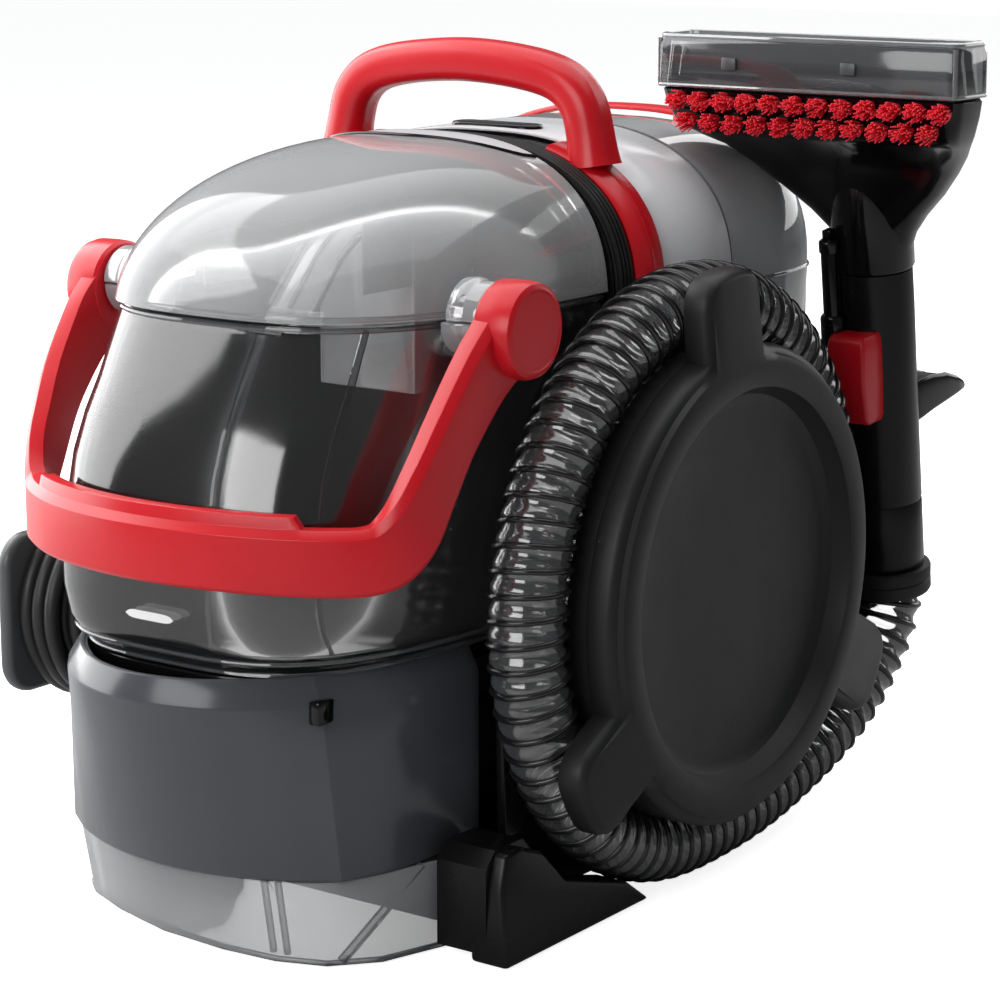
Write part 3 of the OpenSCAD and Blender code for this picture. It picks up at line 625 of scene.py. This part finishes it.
# height, half width, depth, roundness
tank_levels = [(112.8, 75.5, 157, 3.3), (114.6, 77.8, 159.4, 3.3), (115.6, 78.4, 160, 3.3),
               (116.2, 77.6, 159.4, 3.3), (117.2, 78.6, 160.2, 3.3), (118.6, 81, 162, 3.4),
               (120.6, 82.4, 163.2, 3.5), (124, 83.6, 164.3, 3.5), (135, 85.3, 165, 3.6),
               (150, 85.5, 165, 3.6), (168, 85.5, 163.5, 3.4), (185, 85.5, 160, 3.3),
               (200, 85, 154.5, 3.15), (213, 84.4, 148, 3.0), (226, 83.8, 140.5, 3.0),
               (236, 83.2, 134.5, 3.0), (240.2, 83, 132, 3.0)]
s = Shape()
s.loft([plan(w, l, z, m) for z, w, l, m in tank_levels]
       + [plan(w - 2.4, l - 2.4, z, m, TANK_BACK - 2.4)
          for z, w, l, m in reversed(tank_levels) if z > 120])
s.piece("dirty_tank_skin", tank_clear_painted_shade, "dirty_tank", ["dirty_tank"], smooth=60)


def tank_at(z):
    """Half width, depth and roundness of the tank's outline at that height."""
    for a, b in zip(tank_levels, tank_levels[1:]):
        if a[0] <= z <= b[0]:
            t = (z - a[0]) / (b[0] - a[0])
            return tuple(lerp(a[k], b[k], t) for k in (1, 2, 3))
    return tank_levels[-1][1:]


def tank_point(x, z, inset=0.0):
    """Point on the tank's front wall at that X and height."""
    w, l, m = tank_at(z)
    w, l = w - inset, l - inset
    return Vector((x, TANK_Y - l * (1 - min(1, abs(x) / w) ** m) ** (1 / m), z))


# Rim where tank and lid meet
s = Shape()
for z, grow in ((238.6, 0.7), (242.6, 0.8)):
    ring = [Vector(p) for p in plan(83 + grow, 132 + grow, z, 3.0)]
    s.tube(ring, 1.1, 8, closed=True)
s.piece("tank_rim_beads", rib_clear, "dirty_tank")

# Ribs that curve down the inside of the tank's front
s = Shape()
for x in (-58, 24, 62):
    s.tube([tank_point(x * lerp(1.0, 0.94, k / 24), lerp(122, 238, k / 24), 3.4)
            for k in range(25)], 1.5, 8)
s.tube([tank_point(28 * lerp(1.0, 0.94, k / 24), lerp(122, 238, k / 24), 3.6)
        for k in range(25)], 0.9, 8)
for z, w, l in ((113.6, 77.4, 158.8), (118.9, 82.0, 162.8)):
    s.tube([Vector(p) for p in plan(w, l, z, 3.4)[:57]], 0.8, 8)
s.piece("tank_ribs", rib_clear, "dirty_tank")

# Fill mark: a plain printed bar
s = Shape()
rings = []
for k in range(13):
    x = lerp(-14.5, 9.5, k / 12)
    h = 1.7 * (1 - (2 * k / 12 - 1) ** 8)
    rings.append([tank_point(x, 132 + h) + Vector((0, -0.15, 0)),
                  tank_point(x, 132 - h) + Vector((0, -0.15, 0)),
                  tank_point(x, 132 - h) + Vector((0, 0.3, 0)),
                  tank_point(x, 132 + h) + Vector((0, 0.3, 0))])
s.loft(rings)
s.piece("fill_mark", print_white, "dirty_tank")

# Pivot bosses, split level with the rim between tank and lid
for name, body, low, high, r in (("tank_bosses", "dirty_tank", -200, 240.4, 13.6),
                                 ("lid_bosses", "lid", 241.2, 400, 14.0)):
    s = Shape()
    rings = []
    for x in (77 if body == "dirty_tank" else 79.5, 84, 86, 92.4, 93.2):
        rr = r + (1.2 if x < 85 else 0) - (1.0 if x > 93 else 0)
        ring = []
        for k in range(49):
            a = math.pi * (k / 48) + (0 if body == "lid" else math.pi)
            ring.append((x, -113 + rr * math.cos(a), 240.8 + rr * math.sin(a) * 0.98
                         + (0.4 if body == "lid" else -0.4)))
        rings.append(ring)
    s.loft(rings)
    s.mirrored()
    s.piece(name, clear("clear_" + name, (0.62, 0.64, 0.66), 0.42, 0.92), body, bevel=0.6)

# ---- lid --------

LID_H = 67.5


def lid_ring(z, inset=0.0):
    h = LID_H - inset
    u = min(0.9995, max(0, z - 232) / h)
    return plan(arch_x(86.6 - inset, h, z), (136 - inset) * math.sqrt(max(0.004, 1 - u * u)), z,
                3.0, TANK_BACK - inset)


def lid_top(x, y):
    """Height of the lid's outside above a point near its rear edge."""
    w = 1 - (min(86, abs(x)) / 86.6) ** 2.6
    side = LID_H * max(0.0, w) ** (1 / 2.6)
    reach = abs(y - TANK_Y) / 136 if y < TANK_Y else 0
    return 232 + side * math.sqrt(max(0.0, 1 - reach ** 2))


heights = [241.2 + (299.2 - 241.2) * math.sin(math.pi / 2 * k / 22) for k in range(23)]
inner = [241.2 + (296.6 - 241.2) * math.sin(math.pi / 2 * k / 22) for k in range(23)]
s = Shape()
s.loft([lid_ring(z, 2.4) for z in reversed(inner)] + [lid_ring(z) for z in heights])
s.piece("lid_skin", lid_clear_painted_light, "lid", ["tank_lid", "lid_gasket"], smooth=60)

# Pale crown at the lid's rear edge, flush with the top cover
CROWN_HALF, CROWN_DEPTH = 52, 20


def crown_reach(x):
    """How far ahead of the lid's back the crown's curved edge lies."""
    return CROWN_DEPTH * math.sqrt(max(0.0, 1 - (x / CROWN_HALF) ** 2)) + 0.6


s = Shape()
rows = []
for k in range(25):
    x = lerp(-CROWN_HALF, CROWN_HALF, k / 24)
    reach = crown_reach(x)
    rows.append([(x, TANK_BACK - reach * f, lid_top(x, TANK_BACK - reach * f) + up)
                 for f, up in ((0, 0.35), (0.5, 0.35), (1, 0.35), (1, -0.6), (0, -0.6))])
s.loft(rows)
s.piece("lid_crown", pale, "lid", smooth=50)
edge = []
for k in range(49):
    x = lerp(-CROWN_HALF, CROWN_HALF, k / 48)
    y = TANK_BACK - crown_reach(x)
    edge.append((x, y, lid_top(x, y) + 0.3))
s = Shape().tube(edge, 0.8, 8)
s.piece("crown_edge", gloss_black, "lid")

# Stepped channel inside the lid, with its raised edges, and the walls round it
channel = [(-32, 290.5), (-56, 281.5), (-107, 266), (-116, 259.5), (-134, 240)]
s = Shape()
roof = [(y, z) for y, z in channel] + [(y, z - 1.4) for y, z in reversed(channel)]
s.prism(roof, 0.5, 20, "x")
s.piece("lid_channel", duct_clear, "lid", ["separator"], bevel=0.3)
s = Shape()
for x, r in ((0.5, 1.1), (10.2, 0.9)):
    s.tube([(x, y, z + 0.8) for y, z in channel], r, 8)
s.piece("channel_edges", rib_clear, "lid")
s = Shape().tube([(20, y, z - 2.2) for y, z in channel], 1.5, 8)
s.piece("channel_lip", clear("clear_dark_edge_plastic", (0.07, 0.07, 0.075), 0.75, 0.95), "lid")
s = Shape()
s.box((-52, -118, 243), (-50.6, -62, 274)).box((-42, -124, 243), (-40.6, -58, 279))
s.box((21.5, -104, 243), (23, -34, 283)).box((-50, -60, 243), (-16, -58.6, 280))
s.box((16, -60, 243), (21, -58.6, 280))
s.box((-24, -74, 200), (-22.6, -36, 262)).box((22.6, -74, 200), (24, -36, 262))
s.box((-24, -74, 200), (24, -72.6, 262))
s.piece("lid_walls", duct_clear, "lid", bevel=0.3)

s = Shape().lathe([(13.6, 199), (14, 200), (14, 218), (12, 219.6), (5, 220), (5, 234), (4, 236)],
                  (0, -56, 0), (0, 0, 1), 40)
s.piece("float_skin", white, "float", ["float_ball"], bevel=0.3)

# ---- bail --------

half_path = [(99, -113, 238), (99, -122, 231.5), (99, -134, 221.5), (98.8, -150, 204),
             (98, -162, 187), (96, -170.5, 173), (92, -177.5, 164.5), (86, -184, 161.5),
             (76, -191.5, 161), (59, -200.5, 161), (40, -206.6, 161), (20, -210.2, 161),
             (0, -211.4, 161)]
draw_in = (0, 0, 0.6, 3.5, 6.5, 8, 8.5, 8.5, 8, 6.5, 4, 2)
bail_path = spline(half_path + [(d - x, y, z) for (x, y, z), d in
                                zip(reversed(half_path[:-1]), reversed(draw_in))], 7)
s = Shape()
rings = []
m = len(bail_path)
for i, p in enumerate(bail_path):
    t = (bail_path[min(i + 1, m - 1)] - bail_path[max(i - 1, 0)]).normalized()
    out_dir = t.cross(Vector((0, 0, 1)))
    out_dir = -out_dir.normalized() if out_dir.length > 1e-3 else Vector((1, 0, 0))
    if out_dir.dot(p - Vector((0, -60, p.z))) < 0:
        out_dir = -out_dir
    across = out_dir.cross(t).normalized()
    if across.z < 0 or (abs(across.z) < 0.2 and across.y < 0):
        across = -across
    end = min(i, m - 1 - i) / 7
    wide = 15 if end < 0.5 else lerp(15, 12.2, min(1, (end - 0.5) / 2.5))
    thick = lerp(5, 4.2, min(1, end / 5))
    raised = 0.0
    if end > 6.2 and -64 < p.x < 66:
        raised = 4.5
    corners = [(-thick, -wide), (thick - 1.2, -wide), (thick, -wide + 1.6), (thick, wide - 3.2),
               (thick - 2.6, wide), (thick - 3.0, wide + raised),
               (-thick, wide + raised)]
    rings.append([p + out_dir * a + across * b for a, b in corners])
s.loft(rings)
s.piece("bail_frame", red, "bail", ["bail"], bevel=1.3, steps=3, over=24, smooth=50)

# Pivot knobs: a domed cap on the outside of each arm
s = Shape()
s.lathe([(17.2, 93.6), (18.4, 95), (18.6, 100), (18.4, 107), (17.6, 109.4), (15.8, 110.4),
         (15.2, 110.4), (14.8, 110.0), (0.01, 110.3)], (0, -113, 238), (1, 0, 0), 64)
s.mirrored()
s.piece("bail_knobs_skin", red, "bail", ["bail_knobs", "bail_pins"], smooth=32)

# ---- clean-water tank --------


def rear_ring(z, inset=0.0, n=56):
    h = 66.5 - inset
    u = min(0.999, max(0, z - 232) / h)
    w = arch_x(88 - inset, h, z) - 4 * max(0, (232 - z) / 120)
    l = (94 - inset) * max(0.03, 1 - u ** 3) ** 0.34 - 4 * max(0, (232 - z) / 120)
    pts = []
    for i in range(n + 1):
        t = math.pi - math.pi * i / n
        pts.append((w * power(math.cos(t), 0.5), 66 + l * power(math.sin(t), 0.5), z))
    return pts + [(w, 61 + inset, z), (0, 61 + inset, z), (-w, 61 + inset, z)]


heights = [113, 116, 130, 160, 200, 232] + [232 + 66 * math.sin(math.pi / 2 * k / 16)
                                             for k in range(1, 17)]
inner = [116, 130, 160, 200, 232] + [232 + 63.4 * math.sin(math.pi / 2 * k / 16)
                                     for k in range(1, 17)]
s = Shape()
s.loft([rear_ring(z, 2.4) for z in reversed(inner)] + [rear_ring(z) for z in heights])
s.piece("clean_tank_skin", rear_clear, "clean_tank", ["clean_tank"], smooth=60)
s = Shape()
for x in (-70, -35, 0, 35, 70):
    s.tube([(x, 155 if abs(x) < 60 else 150, 118), (x, 156.5 if abs(x) < 60 else 151, 230)], 1.3, 8)
s.tube([Vector(p) for p in rear_ring(233.5)[:57]], 0.9, 8)
s.piece("clean_tank_ribs", rib_clear, "clean_tank")

s = Shape()
arch_strip(s, [(106, 3.0), (106.6, 5.0), (113, 5.4), (119.4, 5.0), (120, 3.0)], -66, 50)
s.piece("clean_tank_strap_skin", red, "clean_tank", ["clean_tank_strap"], bevel=0.5)
# Catch on the strap's right end, with its finger hole
s = Shape()
outline = [(30, 299.3), (41, 297.5), (50, 293.5), (53, 288.4), (50, 284.6), (43, 284.6),
           (34, 288), (29.6, 294)]
s.prism(outline, 103.6, 106.2, "y")
s.piece("strap_catch", red, "clean_tank", bevel=0.9)
s = Shape().lathe([(3.3, 0), (3.3, -0.7), (2.6, -0.9), (0.01, -0.3)], (37.5, 103.6, 291.6),
                  (0, 1, 0), 24)
s.verts = [Vector((37.5 + (v.x - 37.5) * 0.8, v.y, v.z)) for v in s.verts]
s.piece("catch_hole", gloss_black, "clean_tank")
refined("fill_cap", black, 0.8)
refined("tank_valve", white, 0.4)

# ---- hose wrap --------

HUB_Y, HUB_Z = -8, 125


def wheel(profile_r_x, steps=128):
    """Ring round the hub's axis from (radius, x) pairs."""
    return Shape().lathe(profile_r_x, (0, HUB_Y, HUB_Z), (1, 0, 0), steps)


wheel([(60, 91.1), (60, 94), (59, 96), (58, 124), (60, 126.9)], 96).piece(
    "hose_hub_skin", black, "base", ["hose_hub"])

# Flange: dished disc with three hooked lobes that hold the hose, and a skirt on its front side
RIM = 97.0
LOBE_SHAPE = ((11.6, RIM), (9.8, 117), (8.6, 122.5), (6.6, 126.4), (4.4, 127.8), (0, 128.2))
lobe_angles = (96, 211, 331)


def rim_points(off):
    """(angle, radius) round the flange's edge, drawn in by off."""
    out = [(a, RIM) for a in range(0, 360, 3)
           if all(abs((a - c + 180) % 360 - 180) > 12.4 for c in lobe_angles)]
    for c in lobe_angles:
        for k, (half, r) in enumerate(LOBE_SHAPE):
            for sign in ((-1, 1) if half else (0,)):
                out.append(((c + sign * half) % 360, r))
    out.sort()
    pts = [Vector((r * math.cos(math.radians(a)), r * math.sin(math.radians(a)))) for a, r in out]
    if not off:
        return pts
    moved = []
    for i, q in enumerate(pts):
        d = (pts[(i + 1) % len(pts)] - pts[i - 1]).normalized()
        moved.append(q - Vector((d.y, -d.x)) * off)
    return moved


def ring_at(r, x, like):
    return [(x, HUB_Y + q.x / q.length * r, HUB_Z + q.y / q.length * r) for q in like]


outline = rim_points(0)
s = Shape()
rings = [[(x, HUB_Y + q.x, HUB_Z + q.y) for q in rim_points(off)]
         for off, x in ((2.4, 127.2), (0.4, 127.2), (0, 128), (0, 135.2), (0.5, 137), (2.2, 138.8),
                        (3.4, 139.2))]
rings += [ring_at(r, x, outline) for r, x in ((92.4, 141.2), (90, 142), (82, 142), (80, 141.2),
                                              (79, 138.6), (76.5, 134), (74, 132.6), (71, 131.8),
                                              (40, 131), (12, 130.9), (0.4, 130.9))]
s.loft(rings)
s.piece("wrap_flange_skin", matte_black, "base", ["wrap_flange", "flange_screws"], smooth=32)
s = Shape()
rings = []
for k in range(91):
    a = math.radians(90 + 2 * k)
    rings.append([(x, HUB_Y + r * math.cos(a), HUB_Z + r * math.sin(a))
                  for r, x in ((93.8, 118.2), (96.2, 118.2), (96.7, 119), (96.8, 127.3),
                               (93.6, 127.3))])
s.loft(rings)
s.piece("flange_skirt", matte_black, "base", smooth=40)

# Suction hose: clear bellows with a dark helix, from the grip down and twice round the hub


def turn_r(a):
    k = min(1, max(0, (-a - 350) / 90))
    k = k * k * (3 - 2 * k)
    return 108.5 + 1.5 * (1 + math.sin(math.radians(a))) * (1 - k) - 32 * k


lead = [(116, 150.1, 100.4), (116, 151.6, 88.6), (115.8, 147, 75), (115, 136, 61),
        (114, 120, 47), (112.5, 98, 35), (111, 68, 25), (110.3, 40, 19), (110, 14, 16.8)]
turns = [(110, HUB_Y + turn_r(a) * math.cos(math.radians(a)),
          HUB_Z + turn_r(a) * math.sin(math.radians(a))) for a in range(-90, -661, -10)]
route = spline(lead + turns, 6)


def even(path, gap):
    """The same curve with points a fixed distance apart."""
    out, need = [path[0]], gap
    for a, b in zip(path, path[1:]):
        d = (b - a).length
        at = need
        while at <= d:
            out.append(a.lerp(b, at / d))
            at += gap
        need = at - d
    return out


PITCH = 8.6
route = even(route, PITCH / 8)


def axes(path, side=(1, 0, 0)):
    """Tangent and two cross axes along a path."""
    out = []
    side = Vector(side)
    for i in range(len(path)):
        t = (path[min(i + 1, len(path) - 1)] - path[max(i - 1, 0)]).normalized()
        a = (side - t * side.dot(t)).normalized()
        out.append((t, a, t.cross(a)))
        side = a
    return out


grid = axes(route)
s = Shape()
rings = []
for i, (p, (t, a, b)) in enumerate(zip(route, grid)):
    r = 14.2 + 0.75 * math.cos(2 * math.pi * i / 8)
    rings.append([p + (a * math.cos(2 * math.pi * k / 32) + b * math.sin(2 * math.pi * k / 32)) * r
                  for k in range(32)])
s.loft(rings)
s.piece("suction_hose_skin", hose_clear, "base", ["suction_hose"], smooth=70)

STEPS = 30      # points in each turn of the helix
PITCH_POINTS = 8                 # route points that one turn spans
HELIX_R, WIRE_R = 14.8, 1.3
coil = []
total = len(route) - 1
turn_count = total / PITCH_POINTS
for k in range(int(turn_count * STEPS) + 1):
    at = min(total - 1e-6, k / STEPS * PITCH_POINTS)
    i = int(at)
    f = at - i
    p = route[i].lerp(route[i + 1], f)
    a = grid[i][1].lerp(grid[i + 1][1], f).normalized()
    b = grid[i][2].lerp(grid[i + 1][2], f).normalized()
    c = 2 * math.pi * k / STEPS
    coil.append((p + (a * math.cos(c) + b * math.sin(c)) * HELIX_R,
                 a * math.cos(c) + b * math.sin(c)))
s = Shape()
rings = []
for i, (p, out_dir) in enumerate(coil):
    t = (coil[min(i + 1, len(coil) - 1)][0] - coil[max(i - 1, 0)][0]).normalized()
    b = t.cross(out_dir).normalized()
    rings.append([p + (out_dir * math.cos(2 * math.pi * k / 6)
                       + b * math.sin(2 * math.pi * k / 6)) * WIRE_R for k in range(6)])
s.loft(rings)
s.piece("hose_helix", hose_wire, "base", smooth=80)

# ---- wand and tool --------

WAND = (Matrix.Translation((116, 150, 101)) @ Matrix.Rotation(math.radians(8), 4, "X"))


def wand_lathe(profile, steps=64):
    return Shape().lathe(profile, (0, 0, 0), (0, 0, 1), steps)


s = wand_lathe([(12.6, 0.1), (16.3, 0), (16.8, 1), (16.8, 30), (16.4, 31), (16.8, 32), (16.8, 100),
                (16.9, 118), (16.7, 135.4), (14.5, 136), (12.5, 136)])
s.moved(WAND).piece("wand_grip_skin", black, "base", ["wand_grip", "trigger_pin"], smooth=35)
s = wand_lathe([(16.2, 0), (19.2, -0.2), (19.6, -1.2), (19.4, -5.4), (18.9, -6), (19.4, -6.6),
                (19.3, -11), (18.6, -12), (16.2, -12)])
s.moved(WAND).piece("hose_collar_skin", rubber, "base", ["hose_collar"], smooth=35)
# Tool's socket over the grip, with its cut-back top
s = wand_lathe([(13.9, 136.4), (17.2, 136.3), (17.7, 137.2), (17.6, 160), (17.2, 183),
                (16.4, 184.4), (12.5, 184.6)])
s.moved(WAND).piece("tool_socket", gloss_black, "tool", smooth=35)

s = Shape()
rings = []
for z, y0, y1, half in ((72, -24, -13, 8.2), (75, -27, -13, 8.8), (92, -29.5, -13, 9.2),
                        (105, -28.5, -13, 9.2), (109.5, -27.5, -13, 9.0), (111.5, -25, -13, 8.4)):
    rings.append([(-half - 0.8, y1, z), (-half, y0 + 1.2, z), (-half + 1.2, y0, z),
                  (half - 1.2, y0, z), (half, y0 + 1.2, z), (half + 0.8, y1, z)])
s.loft(rings)
s.moved(WAND).piece("spray_trigger_skin", red, "trigger", ["spray_trigger"], bevel=1.0, steps=3,
                    smooth=50)

# Latch lever: a shallow scoop that stands out behind the grip
s = Shape()
rings = []
for y, z0, z1, half in ((0.4, -16.6, 1.6, 6.6), (6, -16.2, 2.4, 7.4), (16, -14.6, 2.2, 8.4),
                        (27, -13.8, 0.4, 9.0), (37, -13.3, -3.9, 9.2), (43.5, -13, -8, 8.8),
                        (45.8, -12.4, -9.6, 7.6)):
    lip = min(1.6, (z1 - z0) / 3)
    rings.append([(-half + 1.5, y, z0), (-half, y, z0 + lip), (-half, y, z1 - lip),
                  (-half + 1.3, y, z1), (-half + 3, y, z1 - 1.3), (half - 3, y, z1 - 1.3),
                  (half - 1.3, y, z1), (half, y, z1 - lip), (half, y, z0 + lip),
                  (half - 1.5, y, z0)])
s.loft(rings)
s.moved(WAND @ Matrix.Translation((0, 19.5, 76)))
s.piece("wand_latch_skin", gloss_black, "latch", ["wand_latch"], bevel=0.5, steps=2, smooth=45)

# Spray line up the front of the grip, with its clips
s = Shape()
s.tube([(-11, -18.5, 108), (-11, -18.5, 112), (-11, -18.5, 150)], 3.6, 20)
s.lathe([(5.2, 104), (5.6, 105), (5.6, 117), (5.0, 118.4)], (-11, -17.5, 0), (0, 0, 1), 24)
s.lathe([(4.4, 146), (4.4, 151), (3.0, 152)], (-11, -18.2, 0), (0, 0, 1), 24)
s.box((-14.5, -17, 106), (-7.5, -12, 150))
s.box((-13, -20.5, 152), (-9, -15, 156))
s.moved(WAND).piece("spray_tube_skin", gloss_black, "base", ["spray_tube"], bevel=0.5)

HEAD = Vector((116.3, 80, 300))
s = Shape()
rings = []
for z, half, deep, y, round_ in ((-56, 17.0, 12, 50, 2.2), (-48, 20, 11, 49, 2.4),
                                 (-40, 27, 10, 45, 2.8), (-30, 38, 9.5, 39, 3.2),
                                 (-20, 48, 9.5, 31, 3.6), (-12, 56, 10, 22, 4),
                                 (-7, 61.6, 11, 12, 5), (-2, 66.4, 12.5, 4, 6), (6, 69.3, 13, 1, 7),
                                 (12.6, 70.4, 13, 0, 8), (13.8, 69.4, 12, 0, 8),
                                 (14.4, 67, 10.4, 0, 8), (24, 66.8, 10.2, 0, 8)):
    rings.append([HEAD + Vector((half * power(math.cos(c), 2 / round_),
                                 y + deep * power(math.sin(c), 2 / round_), z))
                  for c in [2 * math.pi * k / 72 for k in range(72)]])
s.loft(rings)
s.piece("tool_head_skin", gloss_black, "tool", ["tool_head"], smooth=40)

# Smoke window over the nozzle: a hood with thick walls
s = Shape()


def hood(z, half, y0, y1):
    r = 3.5
    pts = []
    for cx, cy, a0 in ((half - r, y1 - r, 0), (-half + r, y1 - r, 90), (-half + r, y0 + r, 180),
                       (half - r, y0 + r, 270)):
        for k in range(5):
            a = math.radians(a0 + 22.5 * k)
            pts.append(HEAD + Vector((cx + r * math.cos(a), cy + r * math.sin(a), z)))
    return pts


s.loft([hood(33.4, 66.8, -11.2, 10.4), hood(15, 68.1, -12.6, 11.6), hood(14.1, 68.4, -13, 12),
        hood(14.1, 70.5, -15, 13.8), hood(31.5, 70.4, -14.8, 13.6), hood(34.4, 69.6, -13.8, 12.8),
        hood(35.9, 67.4, -11.2, 10.4)])
s.piece("nozzle_window_skin", smoke, "tool", ["nozzle_window"], bevel=0.5, smooth=50)
s = Shape()
s.tube(hood(35.0, 68.8, -12.8, 12.2), 1.3, 8, closed=True)
s.tube(hood(14.8, 70.2, -14.6, 13.4), 0.9, 8, closed=True)
for sx in (-1, 1):
    s.tube([HEAD + Vector((sx * 69.2, -13.6, z)) for z in (15, 25, 34)], 1.1, 8)
s.piece("window_edges", clear("clear_grey_edge_plastic", (0.30, 0.31, 0.32), 0.5, 0.85), "tool")
s = Shape()
for x in (-34, 22):
    s.box((HEAD.x + x - 3.4, HEAD.y - 16.4, HEAD.z + 22), (HEAD.x + x + 3.4, HEAD.y - 14.9,
                                                          HEAD.z + 27))
s.piece("window_clips_skin", hook_grey, "tool", ["window_clips"], bevel=0.5)

# Bristle tufts: a splayed bundle of fibres in each hole


def tufts():
    s = Shape()
    draw = random.Random(11)
    rows = (((58.4, 309.4), (181.2, 309.4), 12), ((63, 300.6), (175.8, 301), 11))
    for (x0, z0), (x1, z1), count in rows:
        for k in range(count):
            f = k / (count - 1)
            base = Vector((lerp(x0, x1, f), 68.4, lerp(z0, z1, f)))
            for j in range(70):
                a, r = draw.uniform(0, 2 * math.pi), math.sqrt(draw.random())
                tall = draw.uniform(8.6, 10.8) - 2.2 * r
                root = base + Vector((2.2 * r * math.cos(a), 0, 2.2 * r * math.sin(a)))
                tip = base + Vector((5.2 * r * math.cos(a), -tall, 4.4 * r * math.sin(a) - 0.8))
                s.tube([root, tip], 0.34, 4, side=(1, 0, 0))
    return s


tufts().piece("bristle_tufts", red_soft, "tool", ["bristles"], smooth=80)

# ---- cord wrap on the left --------

s = Shape()
outline = [(cy + 14 * math.cos(math.radians(a)), cz + 14 * math.sin(math.radians(a)))
           for cy, cz, a0 in ((-79, 117, 0), (-124, 117, 90), (-124, 76, 180), (-79, 76, 270))
           for a in range(a0, a0 + 91, 10)]
s.prism(outline, -148.5, -141.6, "x")
s.lathe([(24, -141.6), (26.8, -140), (26.8, -107.2)], (0, -92, 97), (1, 0, 0), 56)
s.piece("cord_hook_front_skin", hook_grey, "base", ["cord_hook_front"], bevel=2.6, steps=4,
        over=50)
refined("cord_hook_rear", hook_grey, 3.0, 4)
refined("strain_relief", rubber, 0.6)

# ---- works inside, carried over from the model --------

works = {"case_screws": steel, "vacuum_motor": works_metal, "motor_mount": dark_works,
         "impeller": dark_works, "fan_housing": dark_works, "suction_duct": dark_works,
         "circuit_board": board_green, "pump": dark_works, "heater": works_metal,
         "water_line": hose_wire}
for name, node in frame["nodes"].items():
    if name in works:
        node.data.materials.clear()
        node.data.materials.append(works[name])

# ---- floor and light --------

floor_mesh = bpy.data.meshes.new("floor")
FLOOR_HALF, FLOOR_Z = 6, -0.0004     # metres
floor_mesh.from_pydata([(sx * FLOOR_HALF, sy * FLOOR_HALF, FLOOR_Z)
                        for sx, sy in ((-1, -1), (1, -1), (1, 1), (-1, 1))],
                       [], [(0, 1, 2, 3)])
floor = bpy.data.objects.new("floor", floor_mesh)
scene.collection.objects.link(floor)
m, tree, out = nodes_of("floor_paper")
paper = tree.nodes.new("ShaderNodeBsdfDiffuse")
paper.inputs["Color"].default_value = (0.86, 0.86, 0.86, 1)
glow = tree.nodes.new("ShaderNodeEmission")
glow.inputs["Color"].default_value = (1, 1, 1, 1)
glow.inputs["Strength"].default_value = 0.84
both = tree.nodes.new("ShaderNodeAddShader")
seen = tree.nodes.new("ShaderNodeLightPath")
pick = tree.nodes.new("ShaderNodeMixShader")
dim_paper = tree.nodes.new("ShaderNodeBsdfDiffuse")
dim_paper.inputs["Color"].default_value = (0.45, 0.45, 0.45, 1)
link(tree, paper.outputs[0], both.inputs[0])
link(tree, glow.outputs[0], both.inputs[1])
link(tree, seen.outputs["Is Camera Ray"], pick.inputs["Fac"])
link(tree, dim_paper.outputs[0], pick.inputs[1])
link(tree, both.outputs[0], pick.inputs[2])
link(tree, pick.outputs[0], out.inputs["Surface"])
floor_mesh.materials.append(m)

world = bpy.data.worlds.new("studio")
scene.world = world
world.use_nodes = True
tree = world.node_tree
tree.nodes.clear()
path_kind = tree.nodes.new("ShaderNodeLightPath")
room = tree.nodes.new("ShaderNodeBackground")
room.inputs["Color"].default_value = (0.95, 0.97, 1.0, 1)
room.inputs["Strength"].default_value = 0.16
backdrop = tree.nodes.new("ShaderNodeBackground")
backdrop.inputs["Color"].default_value = (1, 1, 1, 1)
backdrop.inputs["Strength"].default_value = 1.0
pick = tree.nodes.new("ShaderNodeMixShader")
end = tree.nodes.new("ShaderNodeOutputWorld")
link(tree, path_kind.outputs["Is Camera Ray"], pick.inputs["Fac"])
link(tree, room.outputs[0], pick.inputs[1])
link(tree, backdrop.outputs[0], pick.inputs[2])
link(tree, pick.outputs[0], end.inputs["Surface"])


def softbox(name, where, aim, wide, tall, watts):
    """A rectangular light panel turned towards a point; lengths in metres."""
    data = bpy.data.lights.new(name, "AREA")
    data.shape = "RECTANGLE"
    data.size, data.size_y, data.energy = wide, tall, watts
    light = bpy.data.objects.new(name, data)
    light.location = where
    light.rotation_euler = (Vector(where) - Vector(aim)).to_track_quat("Z", "Y").to_euler()
    scene.collection.objects.link(light)


softbox("key_panel", (-1.0, -0.22, 0.62), (0, -0.06, 0.25), 1.35, 1.25, 25)
softbox("top_panel", (-0.2, 0.2, 1.7), (0, 0, 0.15), 2.6, 2.2, 34)
softbox("rear_panel", (0.2, 1.6, 0.8), (0, 0.05, 0.2), 1.6, 1.0, 10)
softbox("front_panel", (0.0, -2.1, 0.9), (0, 0, 0.15), 1.5, 1.1, 22)
